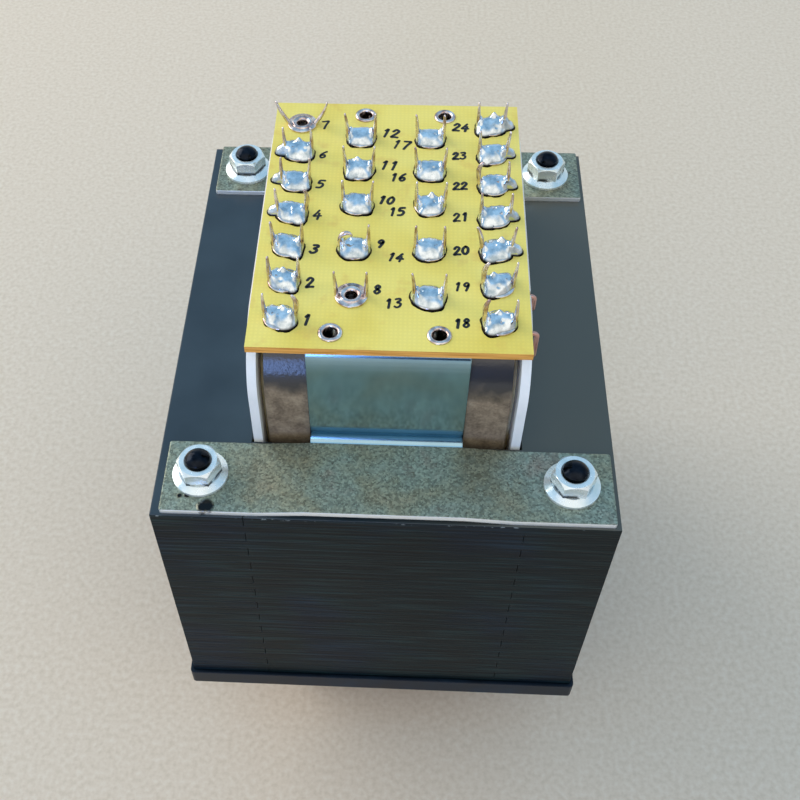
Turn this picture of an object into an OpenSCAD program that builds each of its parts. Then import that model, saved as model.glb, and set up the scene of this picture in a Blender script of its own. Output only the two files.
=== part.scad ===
// Power transformer for a tube amplifier: an interleaved EI core round a wound bobbin,
// a terminal board on two sheet brackets above it and a pressed end bell below it.
// Millimetres, +Z up. The origin is the middle of the flat foot of the end bell.

/* [Core] */
// Width of the middle leg of the E sheets, twice the width of an outer leg
tongue_w = 38; // [30:1:48]
// Height of the stack of sheets
stack_h = 78; // [50:1:100]
// Height of one group of sheets laid the same way round
group_h = 3; // [1:0.5:5]
// Film of varnish between one group and the next
film_t = 0.03; // [0.01:0.01:0.1]
// Gap where an I bar butts against the legs of an E
butt_gap = 0.12; // [0.05:0.01:0.3]

/* [Bolts] */
// Thread diameter of the through bolts
bolt_d = 5; // [4:0.5:6]
// Radial clearance of a bolt in its holes
bolt_clear = 0.3; // [0.2:0.05:0.6]
// Radial clearance of the thread in its nut
thread_clear = 0.05; // [0.02:0.01:0.1]
// Length of bolt that stands out of its nut
bolt_proud = 2; // [1:0.1:5]

/* [Bobbin] */
// Wall of the tube round the middle leg
tube_t = 1.5; // [1:0.1:3]
// Clearance between the tube and the stack
tube_fit = 0.3; // [0.1:0.05:0.6]
// Thickness of an end cheek
cheek_t = 1.9; // [1.2:0.1:3]
// Height of the cheeks above and below the stack
cheek_rise = 28.4; // [22:0.1:34]
// Corner radius of the cheeks
cheek_r = 14; // [7:0.5:15]
// Clearance between the cheeks and the window of the core
cheek_fit = 0.2; // [0.1:0.05:0.5]
// Gap between the end of the tube and the window of the core
end_fit = 0.5; // [0.2:0.1:1]

/* [Windings] */
// Depth of the primary winding in the window
primary_depth = 6; // [4:0.1:8]
// Depth of the heater winding in the window
heater_depth = 2.4; // [1.5:0.1:4]
// Depth of each layer of insulation
paper_t = 0.4; // [0.2:0.05:1]
// Depth of the outer wrap
wrap_t = 0.8; // [0.5:0.05:1.5]
// Margin at each end of a winding
winding_margin = 2.5; // [1:0.1:5]
// Margin at each end of the outer wrap
wrap_margin = 1.2; // [0.5:0.1:3]
// Corner radius of the outer wrap
wrap_r = 14; // [10:0.5:14]
// Play between one layer and the next
layer_play = 0.03; // [0.01:0.01:0.1]

/* [Brackets] */
// Sheet thickness of the brackets
bracket_t = 0.8; // [0.5:0.1:1.2]
// Width of a bracket
bracket_w = 32; // [28:1:38]
// Setback of the bracket walls from the window of the core
bracket_setback = 0.8; // [0.4:0.1:2]
// Inside radius of the bend at the foot of a bracket
foot_r = 2; // [1:0.1:3]
// Inside radius of the bend under the board
head_r = 1; // [0.3:0.1:1.2]
// Length of a foot beyond its bend
foot_l = 14; // [8:0.5:16]
// Depth of the flange under the board
flange_l = 8; // [6:0.5:10]
// Gap between the outer wrap and the bracket walls
coil_gap = 0.3; // [0.2:0.1:1]

/* [Clamp strips] */
// Thickness of a clamp strip
strip_t = 1.3; // [0.8:0.1:2.5]
// Distance of a strip from the long edge of the stack
strip_side = 0.5; // [0:0.1:2]
// Distance of a strip's left end from the side of the stack
strip_left = 2; // [0:0.1:4]
// Distance of a strip's right end from the side of the stack
strip_right = 1; // [0:0.1:4]
// Corner radius of a strip
strip_r = 0.5; // [0.5:0.5:4]
// Run in which a strip rises over the foot of its bracket
strip_ramp = 10; // [5:0.5:12]
// Clearance between a strip and the bracket
strip_fit = 0.1; // [0.05:0.05:0.3]

/* [Terminal board] */
// Thickness of the board
board_t = 1.6; // [1:0.1:3]
// Setback of the board's sides from the outer faces of the cheeks
board_setback = 0.5; // [0:0.1:1.5]
// Lap of the board's ends over the bracket walls
board_lap = 0.1; // [0:0.1:1]
// Distance between an eyelet's lower roll and the bend of its bracket
eyelet_in = 0.1; // [0.05:0.05:0.5]
// Distance between the front eyelets
front_eyelet_gap = 21; // [12:0.5:22]
// Sideways shift of the front eyelets
front_eyelet_shift = -0.8; // [-3:0.1:3]
// Distance between the rear eyelets
rear_eyelet_gap = 18; // [12:0.5:22]
// Sideways shift of the rear eyelets
rear_eyelet_shift = 2; // [-3:0.1:3]
// Shank radius of the eyelets
eyelet_r = 1.75; // [1:0.05:1.8]
// Wall of the eyelets
eyelet_wall = 0.35; // [0.2:0.05:0.5]
// Lap of an eyelet's flange over the board
eyelet_lap = 0.7; // [0.5:0.1:1.1]
// Lap of an eyelet's lower roll under the bracket
eyelet_roll = 0.4; // [0.3:0.1:0.8]

/* [Lugs] */
// Number of lugs in an outer column
outer_lugs = 7; // [3:1:7]
// Distance of the outer columns from the board's sides
lug_side = 6.2; // [5:0.1:8]
// Distance of the outer columns' end lugs from the board's ends
lug_end = 7.6; // [5:0.1:10]
// Distance between the inner columns
inner_gap = 15.4; // [12:0.1:18]
// Pitch of the three rear lugs of an inner column
inner_pitch = 11; // [9:0.1:12]
// Distance of an inner column's rear lug from the board's end
inner_rear_end = 12.3; // [11.5:0.1:14]
// Distance of an inner column's front lug from the board's end
inner_front_end = 13.9; // [11.5:0.1:15]
// Outer radius of a lug's ring
lug_ring_r = 3.3; // [2.8:0.1:3.6]
// Radius of a lug's shank through the board
lug_shank_r = 1.6; // [1.2:0.1:2]
// Sheet thickness of a lug
lug_t = 0.45; // [0.3:0.05:0.6]
// Lap of a lug's flared shank under the board
lug_lap = 0.7; // [0.4:0.1:1]
// Height of the horns above the board
horn_h = 6.7; // [4:0.1:8]
// Width of a horn at its root
horn_w = 1.7; // [1:0.1:2.5]
// Outward lean of the horns in degrees
horn_lean = 4; // [0:1:8]
// Radial clearance of a shank in the board
shank_fit = 0.05; // [0.02:0.01:0.15]

/* [Solder and leads] */
// Height of a solder joint above the board
solder_h = 2.6; // [2.2:0.1:4.5]
// Radius of a solder joint on the board
solder_r = 3.7; // [3.5:0.1:4.2]
// Wire radius of the primary leads
primary_lead_r = 0.5; // [0.3:0.05:0.7]
// Wire radius of the high tension leads
ht_lead_r = 0.35; // [0.2:0.05:0.6]
// Wire radius of the heater leads
heater_lead_r = 0.5; // [0.35:0.05:0.6]
// Number of front heater leads that pass outside the cheek
side_leads = 2; // [0:1:3]
// Radius of the middle of a bend in a heater lead
lead_bend_r = 0.75; // [0.7:0.05:0.9]
// Clearance of a lead
lead_fit = 0.1; // [0.05:0.05:0.3]

/* [End bell] */
// Sheet thickness of the end bell
bell_t = 0.9; // [0.8:0.1:2]
// Height of the rim round the foot of the stack
rim_h = 4.5; // [2:0.5:8]
// Clearance between the rim and the stack
rim_fit = 0.1; // [0.05:0.05:0.5]
// Outside corner radius of the rim
rim_r = 1; // [1:0.1:2]
// Room between the cheeks and the floor of the bell
bell_room = 1.5; // [0.5:0.1:5]
// Outside corner radius of the dome
dome_r = 8; // [5:0.5:8]
// Outside radius round the foot of the dome
dome_foot_r = 6; // [3:0.5:6.5]
// Radius where the dome meets its flange
dome_root_r = 1.5; // [0.5:0.1:1.5]
// Room between the bolt heads and the dome
head_room = 0.4; // [0.2:0.1:1]

/* [Hidden] */
$fn = 48;
eps = 0.01;

// Core
leg = tongue_w / 2;
core_x = 5 * leg;
core_y = 6 * leg;
window_x = 3 * leg;
bolt_x = 2 * leg;
bolt_y = 2.5 * leg;
bell_depth = cheek_rise + bell_room + bell_t;
core_z0 = bell_depth;
core_z1 = core_z0 + stack_h;
core_mid = core_z0 + stack_h / 2;
group_count = round(stack_h / group_h);
group_step = stack_h / group_count;

// Bolts and nuts, in the standard proportions of their thread
bolt_r = bolt_d / 2;
hole_r = bolt_r + bolt_clear;
hex_r = bolt_d * 1.6 / sqrt(3);
head_h = bolt_d * 0.7;
nut_h = bolt_d;
nut_flange_r = bolt_d * 1.15;
nut_rim_h = bolt_d * 0.14;
nut_cone_h = bolt_d * 0.16;
nut_neck_r = hex_r * 0.95;
nut_top_r = bolt_d * 0.78;
nut_sink = bolt_d * 0.07;
thread_r = bolt_r + thread_clear;
nut_z = core_z1 + strip_t;
bolt_top = nut_z + nut_h + bolt_proud;
bolt_dome_r = bolt_r * 1.25;

// Bobbin
tube_half_y = leg + tube_fit + tube_t;
tube_half_z = stack_h / 2 + tube_fit + tube_t;
cheek_out = window_x / 2 - end_fit;
cheek_in = cheek_out - cheek_t;
cheek_half_y = 2 * leg - cheek_fit;
cheek_half_z = stack_h / 2 + cheek_rise;
tube_r = 1;

// Brackets and the coil between them
wall_out = 2 * leg - bracket_setback;
wall_in = wall_out - bracket_t;
foot_bend = wall_out + foot_r;
lead_room = lug_t + 2 * (heater_lead_r + lead_fit);
coil_half_y = wall_in - coil_gap;
coil_half_z = stack_h / 2 + cheek_rise - lead_room;
coil_depth = coil_half_y - tube_half_y;
bulge = (coil_half_z - tube_half_z) / coil_depth;
heater_out = coil_depth - wrap_t;
heater_in = heater_out - heater_depth;
ht_out = heater_in - paper_t;
ht_in = primary_depth + paper_t;

// Clamp strips
strip_in = foot_bend + strip_fit;
strip_out = core_y / 2 - strip_side;
strip_x0 = -core_x / 2 + strip_left;
strip_x1 = core_x / 2 - strip_right;
strip_flat = bracket_w / 2 + strip_fit;

// Terminal board
board_half_x = cheek_out - board_setback;
board_half_y = wall_out + board_lap;
board_z0 = core_z1 + cheek_rise;
board_z1 = board_z0 + board_t;
eyelet_flange_r = eyelet_r + eyelet_lap;
eyelet_roll_r = eyelet_r + eyelet_roll;
eyelet_y = wall_in - head_r - eyelet_in - eyelet_roll_r;
eyelet_bore_r = eyelet_r - eyelet_wall;
front_eyelets = [for (s = [-1, 1]) [s * front_eyelet_gap / 2 + front_eyelet_shift, -eyelet_y]];
rear_eyelets = [for (s = [-1, 1]) [s * rear_eyelet_gap / 2 + rear_eyelet_shift, eyelet_y]];

// Lugs, in columns from left to right and from front to rear
outer_x = board_half_x - lug_side;
outer_pitch = 2 * (board_half_y - lug_end) / (outer_lugs - 1);
outer_rows = [for (i = [0 : outer_lugs - 1]) -board_half_y + lug_end + i * outer_pitch];
inner_rear = board_half_y - inner_rear_end;
inner_front = -board_half_y + inner_front_end;
inner_third = inner_rear - 2 * inner_pitch;
inner_rows = [
    inner_front, (inner_front + inner_third) / 2,
    inner_third, inner_rear - inner_pitch, inner_rear];
primary_lugs_at = [for (y = outer_rows) [-outer_x, y]];
ht_left_at = [for (y = inner_rows) [-inner_gap / 2, y]];
ht_right_at = [for (y = inner_rows) [inner_gap / 2, y]];
heater_lugs_at = [for (y = outer_rows) [outer_x, y]];
lug_bore_r = lug_shank_r - lug_t;
lug_flare_r = lug_shank_r + lug_lap;

// Lugs that carry solder: all but the rear left one and the front one of the left inner column
primary_joints = [for (i = [0 : outer_lugs - 2]) primary_lugs_at[i]];
ht_left_joints = [for (i = [1 : len(ht_left_at) - 1]) ht_left_at[i]];
ht_joints = concat(ht_left_joints, ht_right_at);
side_joints = [for (i = [0 : 1 : side_leads - 1]) heater_lugs_at[i]];
through_joints = [for (i = [side_leads : outer_lugs - 1]) heater_lugs_at[i]];
solder_ball_r = (solder_r * solder_r + solder_h * solder_h) / (2 * solder_h);
lead_tip_z = board_z1 + solder_h / 2;
side_z1 = board_z0 - lug_t - lead_fit - heater_lead_r;
side_bend_x = cheek_out + lead_fit;
side_out_x = side_bend_x + lead_bend_r;
side_end_x = cheek_in - winding_margin + lead_fit;

// End bell
dome_inset = leg / 2 + hex_r + dome_root_r + head_room;
dome_x = core_x / 2 - dome_inset;
dome_y = core_y / 2 - dome_inset;
rim_x = core_x / 2 + rim_fit + bell_t;
rim_y = core_y / 2 + rim_fit + bell_t;

// Corner radius of a coil layer at a depth from the tube
function layer_r(depth) = tube_r + (wrap_r - tube_r) * depth / coil_depth;

// Height of the coil's surface at a depth from the tube and a distance y from the middle
function layer_top(depth, y) =
    let (r = layer_r(depth))
    let (past = min(r, max(0, abs(y) - tube_half_y - depth + r)))
    core_mid + tube_half_z + depth * bulge - r + sqrt(r * r - past * past);

// Height at which a side lead meets the middle of the heater winding
function side_z0(y) = layer_top((heater_in + heater_out) / 2, y);

// Rectangle with round corners, given by its half sizes
module round_rect(half_u, half_v, r) {
    square([2 * (half_u - r), 2 * half_v], center = true);
    square([2 * half_u, 2 * (half_v - r)], center = true);
    for (u = [-1, 1], v = [-1, 1])
        translate([u * (half_u - r), v * (half_v - r)])
            circle(r);
}

// Quarter of a ring of sheet with inside radius r, in the quadrant given by the signs
module sheet_bend(r, t, su, sv) {
    intersection() {
        difference() {
            circle(r + t);
            circle(r);
        }
        translate([su > 0 ? 0 : -2 * (r + t), sv > 0 ? 0 : -2 * (r + t)])
            square(2 * (r + t));
    }
}

// Stands a drawing of Y and Z on X and draws it out along X, evenly about the middle
module along_x(length) {
    translate([-length / 2, 0, 0])
        rotate([90, 0, 90])
            linear_extrude(height = length)
                children();
}

// Places its children at the four bolts
module at_bolts() {
    for (x = [-1, 1], y = [-1, 1])
        translate([x * bolt_x, y * bolt_y, 0])
            children();
}

// One layer of the coil, between two depths from the tube
module coil_layer(from, to, margin) {
    inner = from + layer_play;
    translate([0, 0, core_mid])
        along_x(2 * (cheek_in - margin))
            difference() {
                round_rect(tube_half_y + to, tube_half_z + to * bulge, layer_r(to));
                round_rect(tube_half_y + inner, tube_half_z + inner * bulge, layer_r(inner));
            }
}

// Holes of the four bolts in a sheet
module sheet_holes() {
    for (x = [-1, 1], y = [-1, 1])
        translate([x * bolt_x, y * bolt_y])
            circle(hole_r);
}

// Outline of an E sheet with its back on the left
module e_outline() {
    difference() {
        translate([-core_x / 2, -core_y / 2])
            square([core_x - leg - butt_gap, core_y]);
        for (s = [-1, 1])
            translate([-window_x / 2, s * 1.5 * leg - leg / 2])
                square([window_x, leg]);
        sheet_holes();
    }
}

// Outline of the I bar that closes an E sheet on the right
module i_outline() {
    difference() {
        translate([window_x / 2, -core_y / 2])
            square([leg, core_y]);
        sheet_holes();
    }
}

// Stacks an outline in groups that face left and right by turns
module interleaved() {
    for (i = [0 : group_count - 1])
        translate([0, 0, core_z0 + i * group_step])
            mirror([i % 2, 0, 0])
                linear_extrude(height = group_step - film_t)
                    children();
}

module e_laminations() {
    color([0.17, 0.21, 0.24])
        interleaved()
            e_outline();
}

module i_laminations() {
    color([0.19, 0.23, 0.26])
        interleaved()
            i_outline();
}

module bobbin() {
    lead_hole_r = heater_lead_r + lead_fit;
    color([0.88, 0.91, 0.89])
        difference() {
            translate([0, 0, core_mid]) {
                along_x(2 * cheek_out)
                    round_rect(tube_half_y, tube_half_z, tube_r);
                for (s = [-1, 1])
                    translate([s * (cheek_out - cheek_t / 2), 0, 0])
                        along_x(cheek_t)
                            round_rect(cheek_half_y, cheek_half_z, cheek_r);
            }
            translate([0, 0, core_mid])
                along_x(2 * cheek_out + 2)
                    square([2 * (tube_half_y - tube_t), 2 * (tube_half_z - tube_t)], center = true);
            for (p = side_joints) {
                translate([cheek_in - 1, p[1], side_z0(p[1])])
                    rotate([0, 90, 0])
                        cylinder(r = lead_hole_r, h = cheek_t + 2);
                translate([cheek_in - 1, p[1] - lead_hole_r, side_z1 - lead_hole_r])
                    cube([cheek_t + 2, 2 * lead_hole_r, lead_room]);
            }
        }
}

module primary_winding() {
    color([0.72, 0.38, 0.2])
        coil_layer(0, primary_depth, winding_margin);
}

module primary_insulation() {
    color([0.86, 0.8, 0.62])
        coil_layer(primary_depth, ht_in, lead_fit);
}

module ht_winding() {
    color([0.7, 0.34, 0.17])
        coil_layer(ht_in, ht_out, winding_margin);
}

module ht_insulation() {
    color([0.86, 0.8, 0.62])
        coil_layer(ht_out, heater_in, lead_fit);
}

module heater_winding() {
    color([0.76, 0.42, 0.24])
        coil_layer(heater_in, heater_out, winding_margin);
}

module outer_wrap() {
    color([0.46, 0.39, 0.31])
        coil_layer(heater_out, coil_depth, wrap_margin);
}

// Section of a bracket, with the distance from the middle of the coil as its first axis
module bracket_section() {
    foot_mid_z = core_z1 + bracket_t + foot_r;
    head_out = head_r + bracket_t;
    head_mid = wall_out - head_out;
    translate([foot_bend, core_z1])
        square([foot_l, bracket_t]);
    translate([foot_bend, foot_mid_z])
        sheet_bend(foot_r, bracket_t, -1, -1);
    translate([wall_in, foot_mid_z])
        square([bracket_t, board_z0 - head_out - foot_mid_z]);
    translate([head_mid, board_z0 - head_out])
        sheet_bend(head_r, bracket_t, 1, 1);
    translate([wall_out - flange_l, board_z0 - bracket_t])
        square([head_mid - wall_out + flange_l, bracket_t]);
}

// Bracket on one side of the coil, drilled for its eyelets
module bracket(side, eyelets) {
    difference() {
        mirror([0, side < 0 ? 1 : 0, 0])
            along_x(bracket_w)
                bracket_section();
        for (p = eyelets)
            translate([p[0], p[1], board_z0 - bracket_t - 1])
                cylinder(r = eyelet_r + shank_fit, h = bracket_t + 2);
    }
}

module front_bracket() {
    color([0.55, 0.63, 0.62])
        bracket(-1, front_eyelets);
}

module rear_bracket() {
    color([0.55, 0.63, 0.62])
        bracket(1, rear_eyelets);
}

// Long edge of a clamp strip: flat at its ends and raised over the foot of its bracket
module strip_edge() {
    under = [
        [strip_x0, 0], [-strip_flat - strip_ramp, 0], [-strip_flat, bracket_t],
        [strip_flat, bracket_t], [strip_flat + strip_ramp, 0], [strip_x1, 0]];
    over = [for (i = [len(under) - 1 : -1 : 0]) under[i] + [0, strip_t]];
    polygon(concat(under, over));
}

// Clamp strip on one side of the coil
module strip(side) {
    half_x = (strip_x1 - strip_x0) / 2;
    half_y = (strip_out - strip_in) / 2;
    mid = [(strip_x0 + strip_x1) / 2, side * (strip_in + strip_out) / 2, core_z1];
    difference() {
        intersection() {
            translate([0, mid[1] + half_y + 1, core_z1])
                rotate([90, 0, 0])
                    linear_extrude(height = 2 * half_y + 2)
                        strip_edge();
            translate([mid[0], mid[1], core_z1 - 1])
                linear_extrude(height = strip_t + bracket_t + 2)
                    round_rect(half_x, half_y, strip_r);
        }
        at_bolts()
            translate([0, 0, core_z1 - 1])
                cylinder(r = hole_r, h = strip_t + 2);
    }
}

module front_strip() {
    color([0.5, 0.51, 0.44])
        strip(-1);
}

module rear_strip() {
    color([0.5, 0.51, 0.44])
        strip(1);
}

module terminal_board() {
    color([0.86, 0.82, 0.45])
        difference() {
            translate([-board_half_x, -board_half_y, board_z0])
                cube([2 * board_half_x, 2 * board_half_y, board_t]);
            for (p = concat(primary_lugs_at, ht_left_at, ht_right_at, heater_lugs_at))
                translate([p[0], p[1], board_z0 - 1])
                    cylinder(r = lug_shank_r + shank_fit, h = board_t + 2);
            for (p = concat(front_eyelets, rear_eyelets))
                translate([p[0], p[1], board_z0 - 1])
                    cylinder(r = eyelet_r + shank_fit, h = board_t + 2);
        }
}

// Eyelet with its flange on the board, rolled over under the bracket
module eyelet() {
    bottom = board_z0 - bracket_t;
    difference() {
        union() {
            translate([0, 0, bottom - eyelet_wall])
                cylinder(r = eyelet_r, h = board_z1 - bottom + 2 * eyelet_wall);
            translate([0, 0, board_z1])
                cylinder(r1 = eyelet_flange_r, r2 = eyelet_flange_r - eyelet_wall, h = eyelet_wall);
            translate([0, 0, bottom - eyelet_wall])
                cylinder(r1 = eyelet_roll_r - eyelet_wall, r2 = eyelet_roll_r, h = eyelet_wall);
        }
        translate([0, 0, bottom - eyelet_wall - 1])
            cylinder(r = eyelet_bore_r, h = board_z1 - bottom + 2 * eyelet_wall + 2);
    }
}

module board_eyelets() {
    color([0.82, 0.8, 0.77])
        for (p = concat(front_eyelets, rear_eyelets))
            translate([p[0], p[1], 0])
                eyelet();
}

// One horn of a lug, folded up from its ring and tapered to a blunt point
module horn() {
    root = horn_w / 2;
    waist = root * 0.75;
    tip = root * 0.35;
    shoulder = horn_h * 0.7;
    translate([lug_ring_r, 0, board_z1])
        rotate([0, horn_lean, 0])
            translate([-lug_t, 0, 0])
                rotate([90, 0, 90])
                    linear_extrude(height = lug_t)
                        polygon([
                            [-root, 0], [root, 0], [waist, shoulder],
                            [tip, horn_h], [-tip, horn_h], [-waist, shoulder]]);
}

// Lug with a ring and two horns on the board and a shank flared out below it
module lug() {
    difference() {
        union() {
            translate([0, 0, board_z0 - lug_t])
                cylinder(r = lug_shank_r, h = board_t + 2 * lug_t);
            translate([0, 0, board_z1])
                cylinder(r = lug_ring_r, h = lug_t);
            translate([0, 0, board_z0 - lug_t])
                cylinder(r1 = lug_flare_r - lug_t / 2, r2 = lug_flare_r, h = lug_t);
            horn();
            mirror([1, 0, 0])
                horn();
        }
        translate([0, 0, board_z0 - lug_t - 1])
            cylinder(r = lug_bore_r, h = board_t + 2 * lug_t + 2);
    }
}

module lugs(places) {
    for (p = places)
        translate([p[0], p[1], 0])
            lug();
}

module primary_lugs() {
    color([0.78, 0.66, 0.58])
        lugs(primary_lugs_at);
}

module ht_lugs() {
    color([0.78, 0.66, 0.58])
        lugs(concat(ht_left_at, ht_right_at));
}

module heater_lugs() {
    color([0.78, 0.66, 0.58])
        lugs(heater_lugs_at);
}

// Lead that rises from the coil through the shank of a lug at p
module through_lead(p, r) {
    bottom = layer_top(coil_depth, abs(p[1]) - r) + lead_fit;
    translate([p[0], p[1], bottom])
        cylinder(r = r, h = lead_tip_z - bottom);
}

// Quarter bend of a heater lead about a line along Y, from one angle to the next
module lead_bend(start) {
    rotate([90, start, 0])
        rotate_extrude(angle = 90)
            translate([lead_bend_r, 0])
                circle(heater_lead_r);
}

// Lead from a heater lug under the board, out over the cheek and back through it to the winding
module side_lead(y) {
    low_z = side_z0(y);
    top_mid = side_z1 - lead_bend_r;
    low_mid = low_z + lead_bend_r;
    lug_z = side_z1 + lead_bend_r;
    under_x = outer_x + lead_bend_r;
    translate([outer_x, y, lug_z])
        cylinder(r = heater_lead_r, h = lead_tip_z - lug_z);
    translate([under_x, y, lug_z])
        lead_bend(180);
    translate([under_x, y, side_z1])
        rotate([0, 90, 0])
            cylinder(r = heater_lead_r, h = side_bend_x - under_x);
    translate([side_bend_x, y, top_mid])
        lead_bend(0);
    translate([side_out_x, y, low_mid])
        cylinder(r = heater_lead_r, h = top_mid - low_mid);
    translate([side_bend_x, y, low_mid])
        lead_bend(90);
    translate([side_end_x, y, low_z])
        rotate([0, 90, 0])
            cylinder(r = heater_lead_r, h = side_bend_x - side_end_x);
}

module primary_leads() {
    color([0.75, 0.45, 0.33])
        for (p = primary_joints)
            through_lead(p, primary_lead_r);
}

module ht_leads() {
    color([0.75, 0.45, 0.33])
        for (p = ht_joints)
            through_lead(p, ht_lead_r);
}

module heater_leads() {
    color([0.75, 0.45, 0.33]) {
        for (p = through_joints)
            through_lead(p, heater_lead_r);
        for (p = side_joints)
            side_lead(p[1]);
    }
}

// Mound of solder on a lug
module solder_mound() {
    intersection() {
        translate([0, 0, board_z1 + solder_h - solder_ball_r])
            sphere(solder_ball_r);
        translate([0, 0, board_z1])
            cylinder(r = solder_r + 1, h = solder_h + 1);
    }
}

// Solder on each place of a list, cut round the lug and the lead that it holds
module solder(places) {
    for (p = places)
        difference() {
            translate([p[0], p[1], 0]) {
                difference() {
                    solder_mound();
                    lug();
                }
            }
            children();
        }
}

module primary_solder() {
    color([0.75, 0.79, 0.82])
        solder(primary_joints)
            primary_leads();
}

module ht_solder() {
    color([0.75, 0.79, 0.82])
        solder(ht_joints)
            ht_leads();
}

module heater_solder() {
    color([0.75, 0.79, 0.82])
        solder(heater_lugs_at)
            heater_leads();
}

module through_bolts() {
    shank_z = core_z0 - bell_t;
    color([0.1, 0.1, 0.12])
        at_bolts() {
            translate([0, 0, shank_z - head_h])
                cylinder(r = hex_r, h = head_h, $fn = 6);
            intersection() {
                translate([0, 0, shank_z - eps])
                    cylinder(r = bolt_r, h = bolt_top - shank_z + eps);
                union() {
                    translate([0, 0, bolt_top - bolt_dome_r])
                        sphere(bolt_dome_r);
                    translate([0, 0, shank_z - 1])
                        cylinder(r = bolt_d, h = bolt_top - bolt_dome_r - shank_z + 1);
                }
            }
        }
}

// Hexagon nut on a conical flange, countersunk at its top
module flange_nut() {
    difference() {
        union() {
            cylinder(r = nut_flange_r, h = nut_rim_h);
            translate([0, 0, nut_rim_h])
                cylinder(r1 = nut_flange_r, r2 = nut_neck_r, h = nut_cone_h);
            intersection() {
                cylinder(r = hex_r, h = nut_h, $fn = 6);
                cylinder(r1 = nut_top_r + nut_h, r2 = nut_top_r, h = nut_h);
            }
        }
        translate([0, 0, -1])
            cylinder(r = thread_r, h = nut_h + 2);
        translate([0, 0, nut_h - nut_sink])
            cylinder(r1 = thread_r, r2 = thread_r + 2 * nut_sink, h = 2 * nut_sink);
    }
}

module flange_nuts() {
    color([0.8, 0.87, 0.86])
        at_bolts()
            translate([0, 0, nut_z])
                flange_nut();
}

// Section across a tub with a round edge at its foot
module tub_section(half, depth, edge_r) {
    translate([-half, edge_r])
        square([2 * half, depth - edge_r]);
    translate([-half + edge_r, 0])
        square([2 * (half - edge_r), depth]);
    for (s = [-1, 1])
        translate([s * (half - edge_r), edge_r])
            circle(edge_r);
}

// Tub with round corners and a round edge at its foot, open side up
module tub(half_x, half_y, depth, corner_r, edge_r) {
    straight_x = half_x - corner_r;
    straight_y = half_y - corner_r;
    along_x(2 * straight_x)
        tub_section(half_y, depth, edge_r);
    rotate([0, 0, 90])
        along_x(2 * straight_y)
            tub_section(half_x, depth, edge_r);
    for (x = [-1, 1], y = [-1, 1])
        translate([x * straight_x, y * straight_y, 0])
            rotate_extrude()
                intersection() {
                    tub_section(corner_r, depth, edge_r);
                    square([corner_r, depth]);
                }
}

// Carries a section round the dome, with the distance outward from its wall as the first axis
module round_dome() {
    straight_x = dome_x - dome_r;
    straight_y = dome_y - dome_r;
    for (s = [0, 1])
        mirror([0, s, 0])
            along_x(2 * straight_x)
                translate([dome_y, 0])
                    children();
    for (s = [0, 1])
        mirror([s, 0, 0])
            rotate([0, 0, 90])
                along_x(2 * straight_y)
                    translate([dome_x, 0])
                        children();
    for (x = [0, 1], y = [0, 1])
        mirror([x, 0, 0])
            mirror([0, y, 0])
                translate([straight_x, straight_y, 0])
                    rotate_extrude(angle = 90)
                        translate([dome_r, 0])
                            children();
}

// Corner left outside a round of radius r that meets a wall at u and a level at v
module round_corner(u, v, r) {
    difference() {
        translate([u, v - r])
            square(r);
        translate([u + r, v - r])
            circle(r);
    }
}

module end_bell() {
    flange_z = core_z0 - bell_t;
    color([0.09, 0.1, 0.12])
        difference() {
            union() {
                tub(dome_x, dome_y, core_z0, dome_r, dome_foot_r);
                translate([0, 0, flange_z])
                    linear_extrude(height = bell_t + rim_h)
                        round_rect(rim_x, rim_y, rim_r);
                round_dome()
                    round_corner(0, flange_z, dome_root_r);
            }
            translate([0, 0, bell_t])
                tub(dome_x - bell_t, dome_y - bell_t, core_z0, dome_r - bell_t, dome_foot_r - bell_t);
            round_dome()
                round_corner(-bell_t, core_z0, dome_root_r + bell_t);
            translate([-core_x / 2 - rim_fit, -core_y / 2 - rim_fit, core_z0])
                cube([core_x + 2 * rim_fit, core_y + 2 * rim_fit, rim_h + 1]);
            at_bolts()
                translate([0, 0, flange_z - 1])
                    cylinder(r = hole_r, h = bell_t + 2);
        }
}

e_laminations();
i_laminations();
bobbin();
primary_winding();
primary_insulation();
ht_winding();
ht_insulation();
heater_winding();
outer_wrap();
front_bracket();
rear_bracket();
front_strip();
rear_strip();
terminal_board();
board_eyelets();
primary_lugs();
ht_lugs();
heater_lugs();
primary_leads();
ht_leads();
heater_leads();
primary_solder();
ht_solder();
heater_solder();
through_bolts();
flange_nuts();
end_bell();
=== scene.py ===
import math
import random

import bmesh
import bpy
from mathutils import Matrix, Vector, noise


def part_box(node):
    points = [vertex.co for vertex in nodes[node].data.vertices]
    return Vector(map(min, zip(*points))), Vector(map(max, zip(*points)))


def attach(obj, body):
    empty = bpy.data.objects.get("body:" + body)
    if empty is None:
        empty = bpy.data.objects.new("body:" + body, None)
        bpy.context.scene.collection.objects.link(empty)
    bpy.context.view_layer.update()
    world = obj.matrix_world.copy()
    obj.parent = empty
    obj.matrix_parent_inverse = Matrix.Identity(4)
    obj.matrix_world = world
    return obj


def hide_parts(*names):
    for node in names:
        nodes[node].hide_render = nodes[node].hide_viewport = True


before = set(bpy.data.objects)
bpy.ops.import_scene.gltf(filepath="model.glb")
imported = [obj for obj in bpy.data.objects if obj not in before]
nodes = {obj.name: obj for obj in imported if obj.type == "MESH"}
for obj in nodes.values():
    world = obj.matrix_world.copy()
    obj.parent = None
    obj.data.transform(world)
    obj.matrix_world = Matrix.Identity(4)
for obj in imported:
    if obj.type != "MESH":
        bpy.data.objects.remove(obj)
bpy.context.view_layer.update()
scene = bpy.context.scene
mm = 0.001
print("frame loaded with", len(nodes), "nodes")

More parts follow.
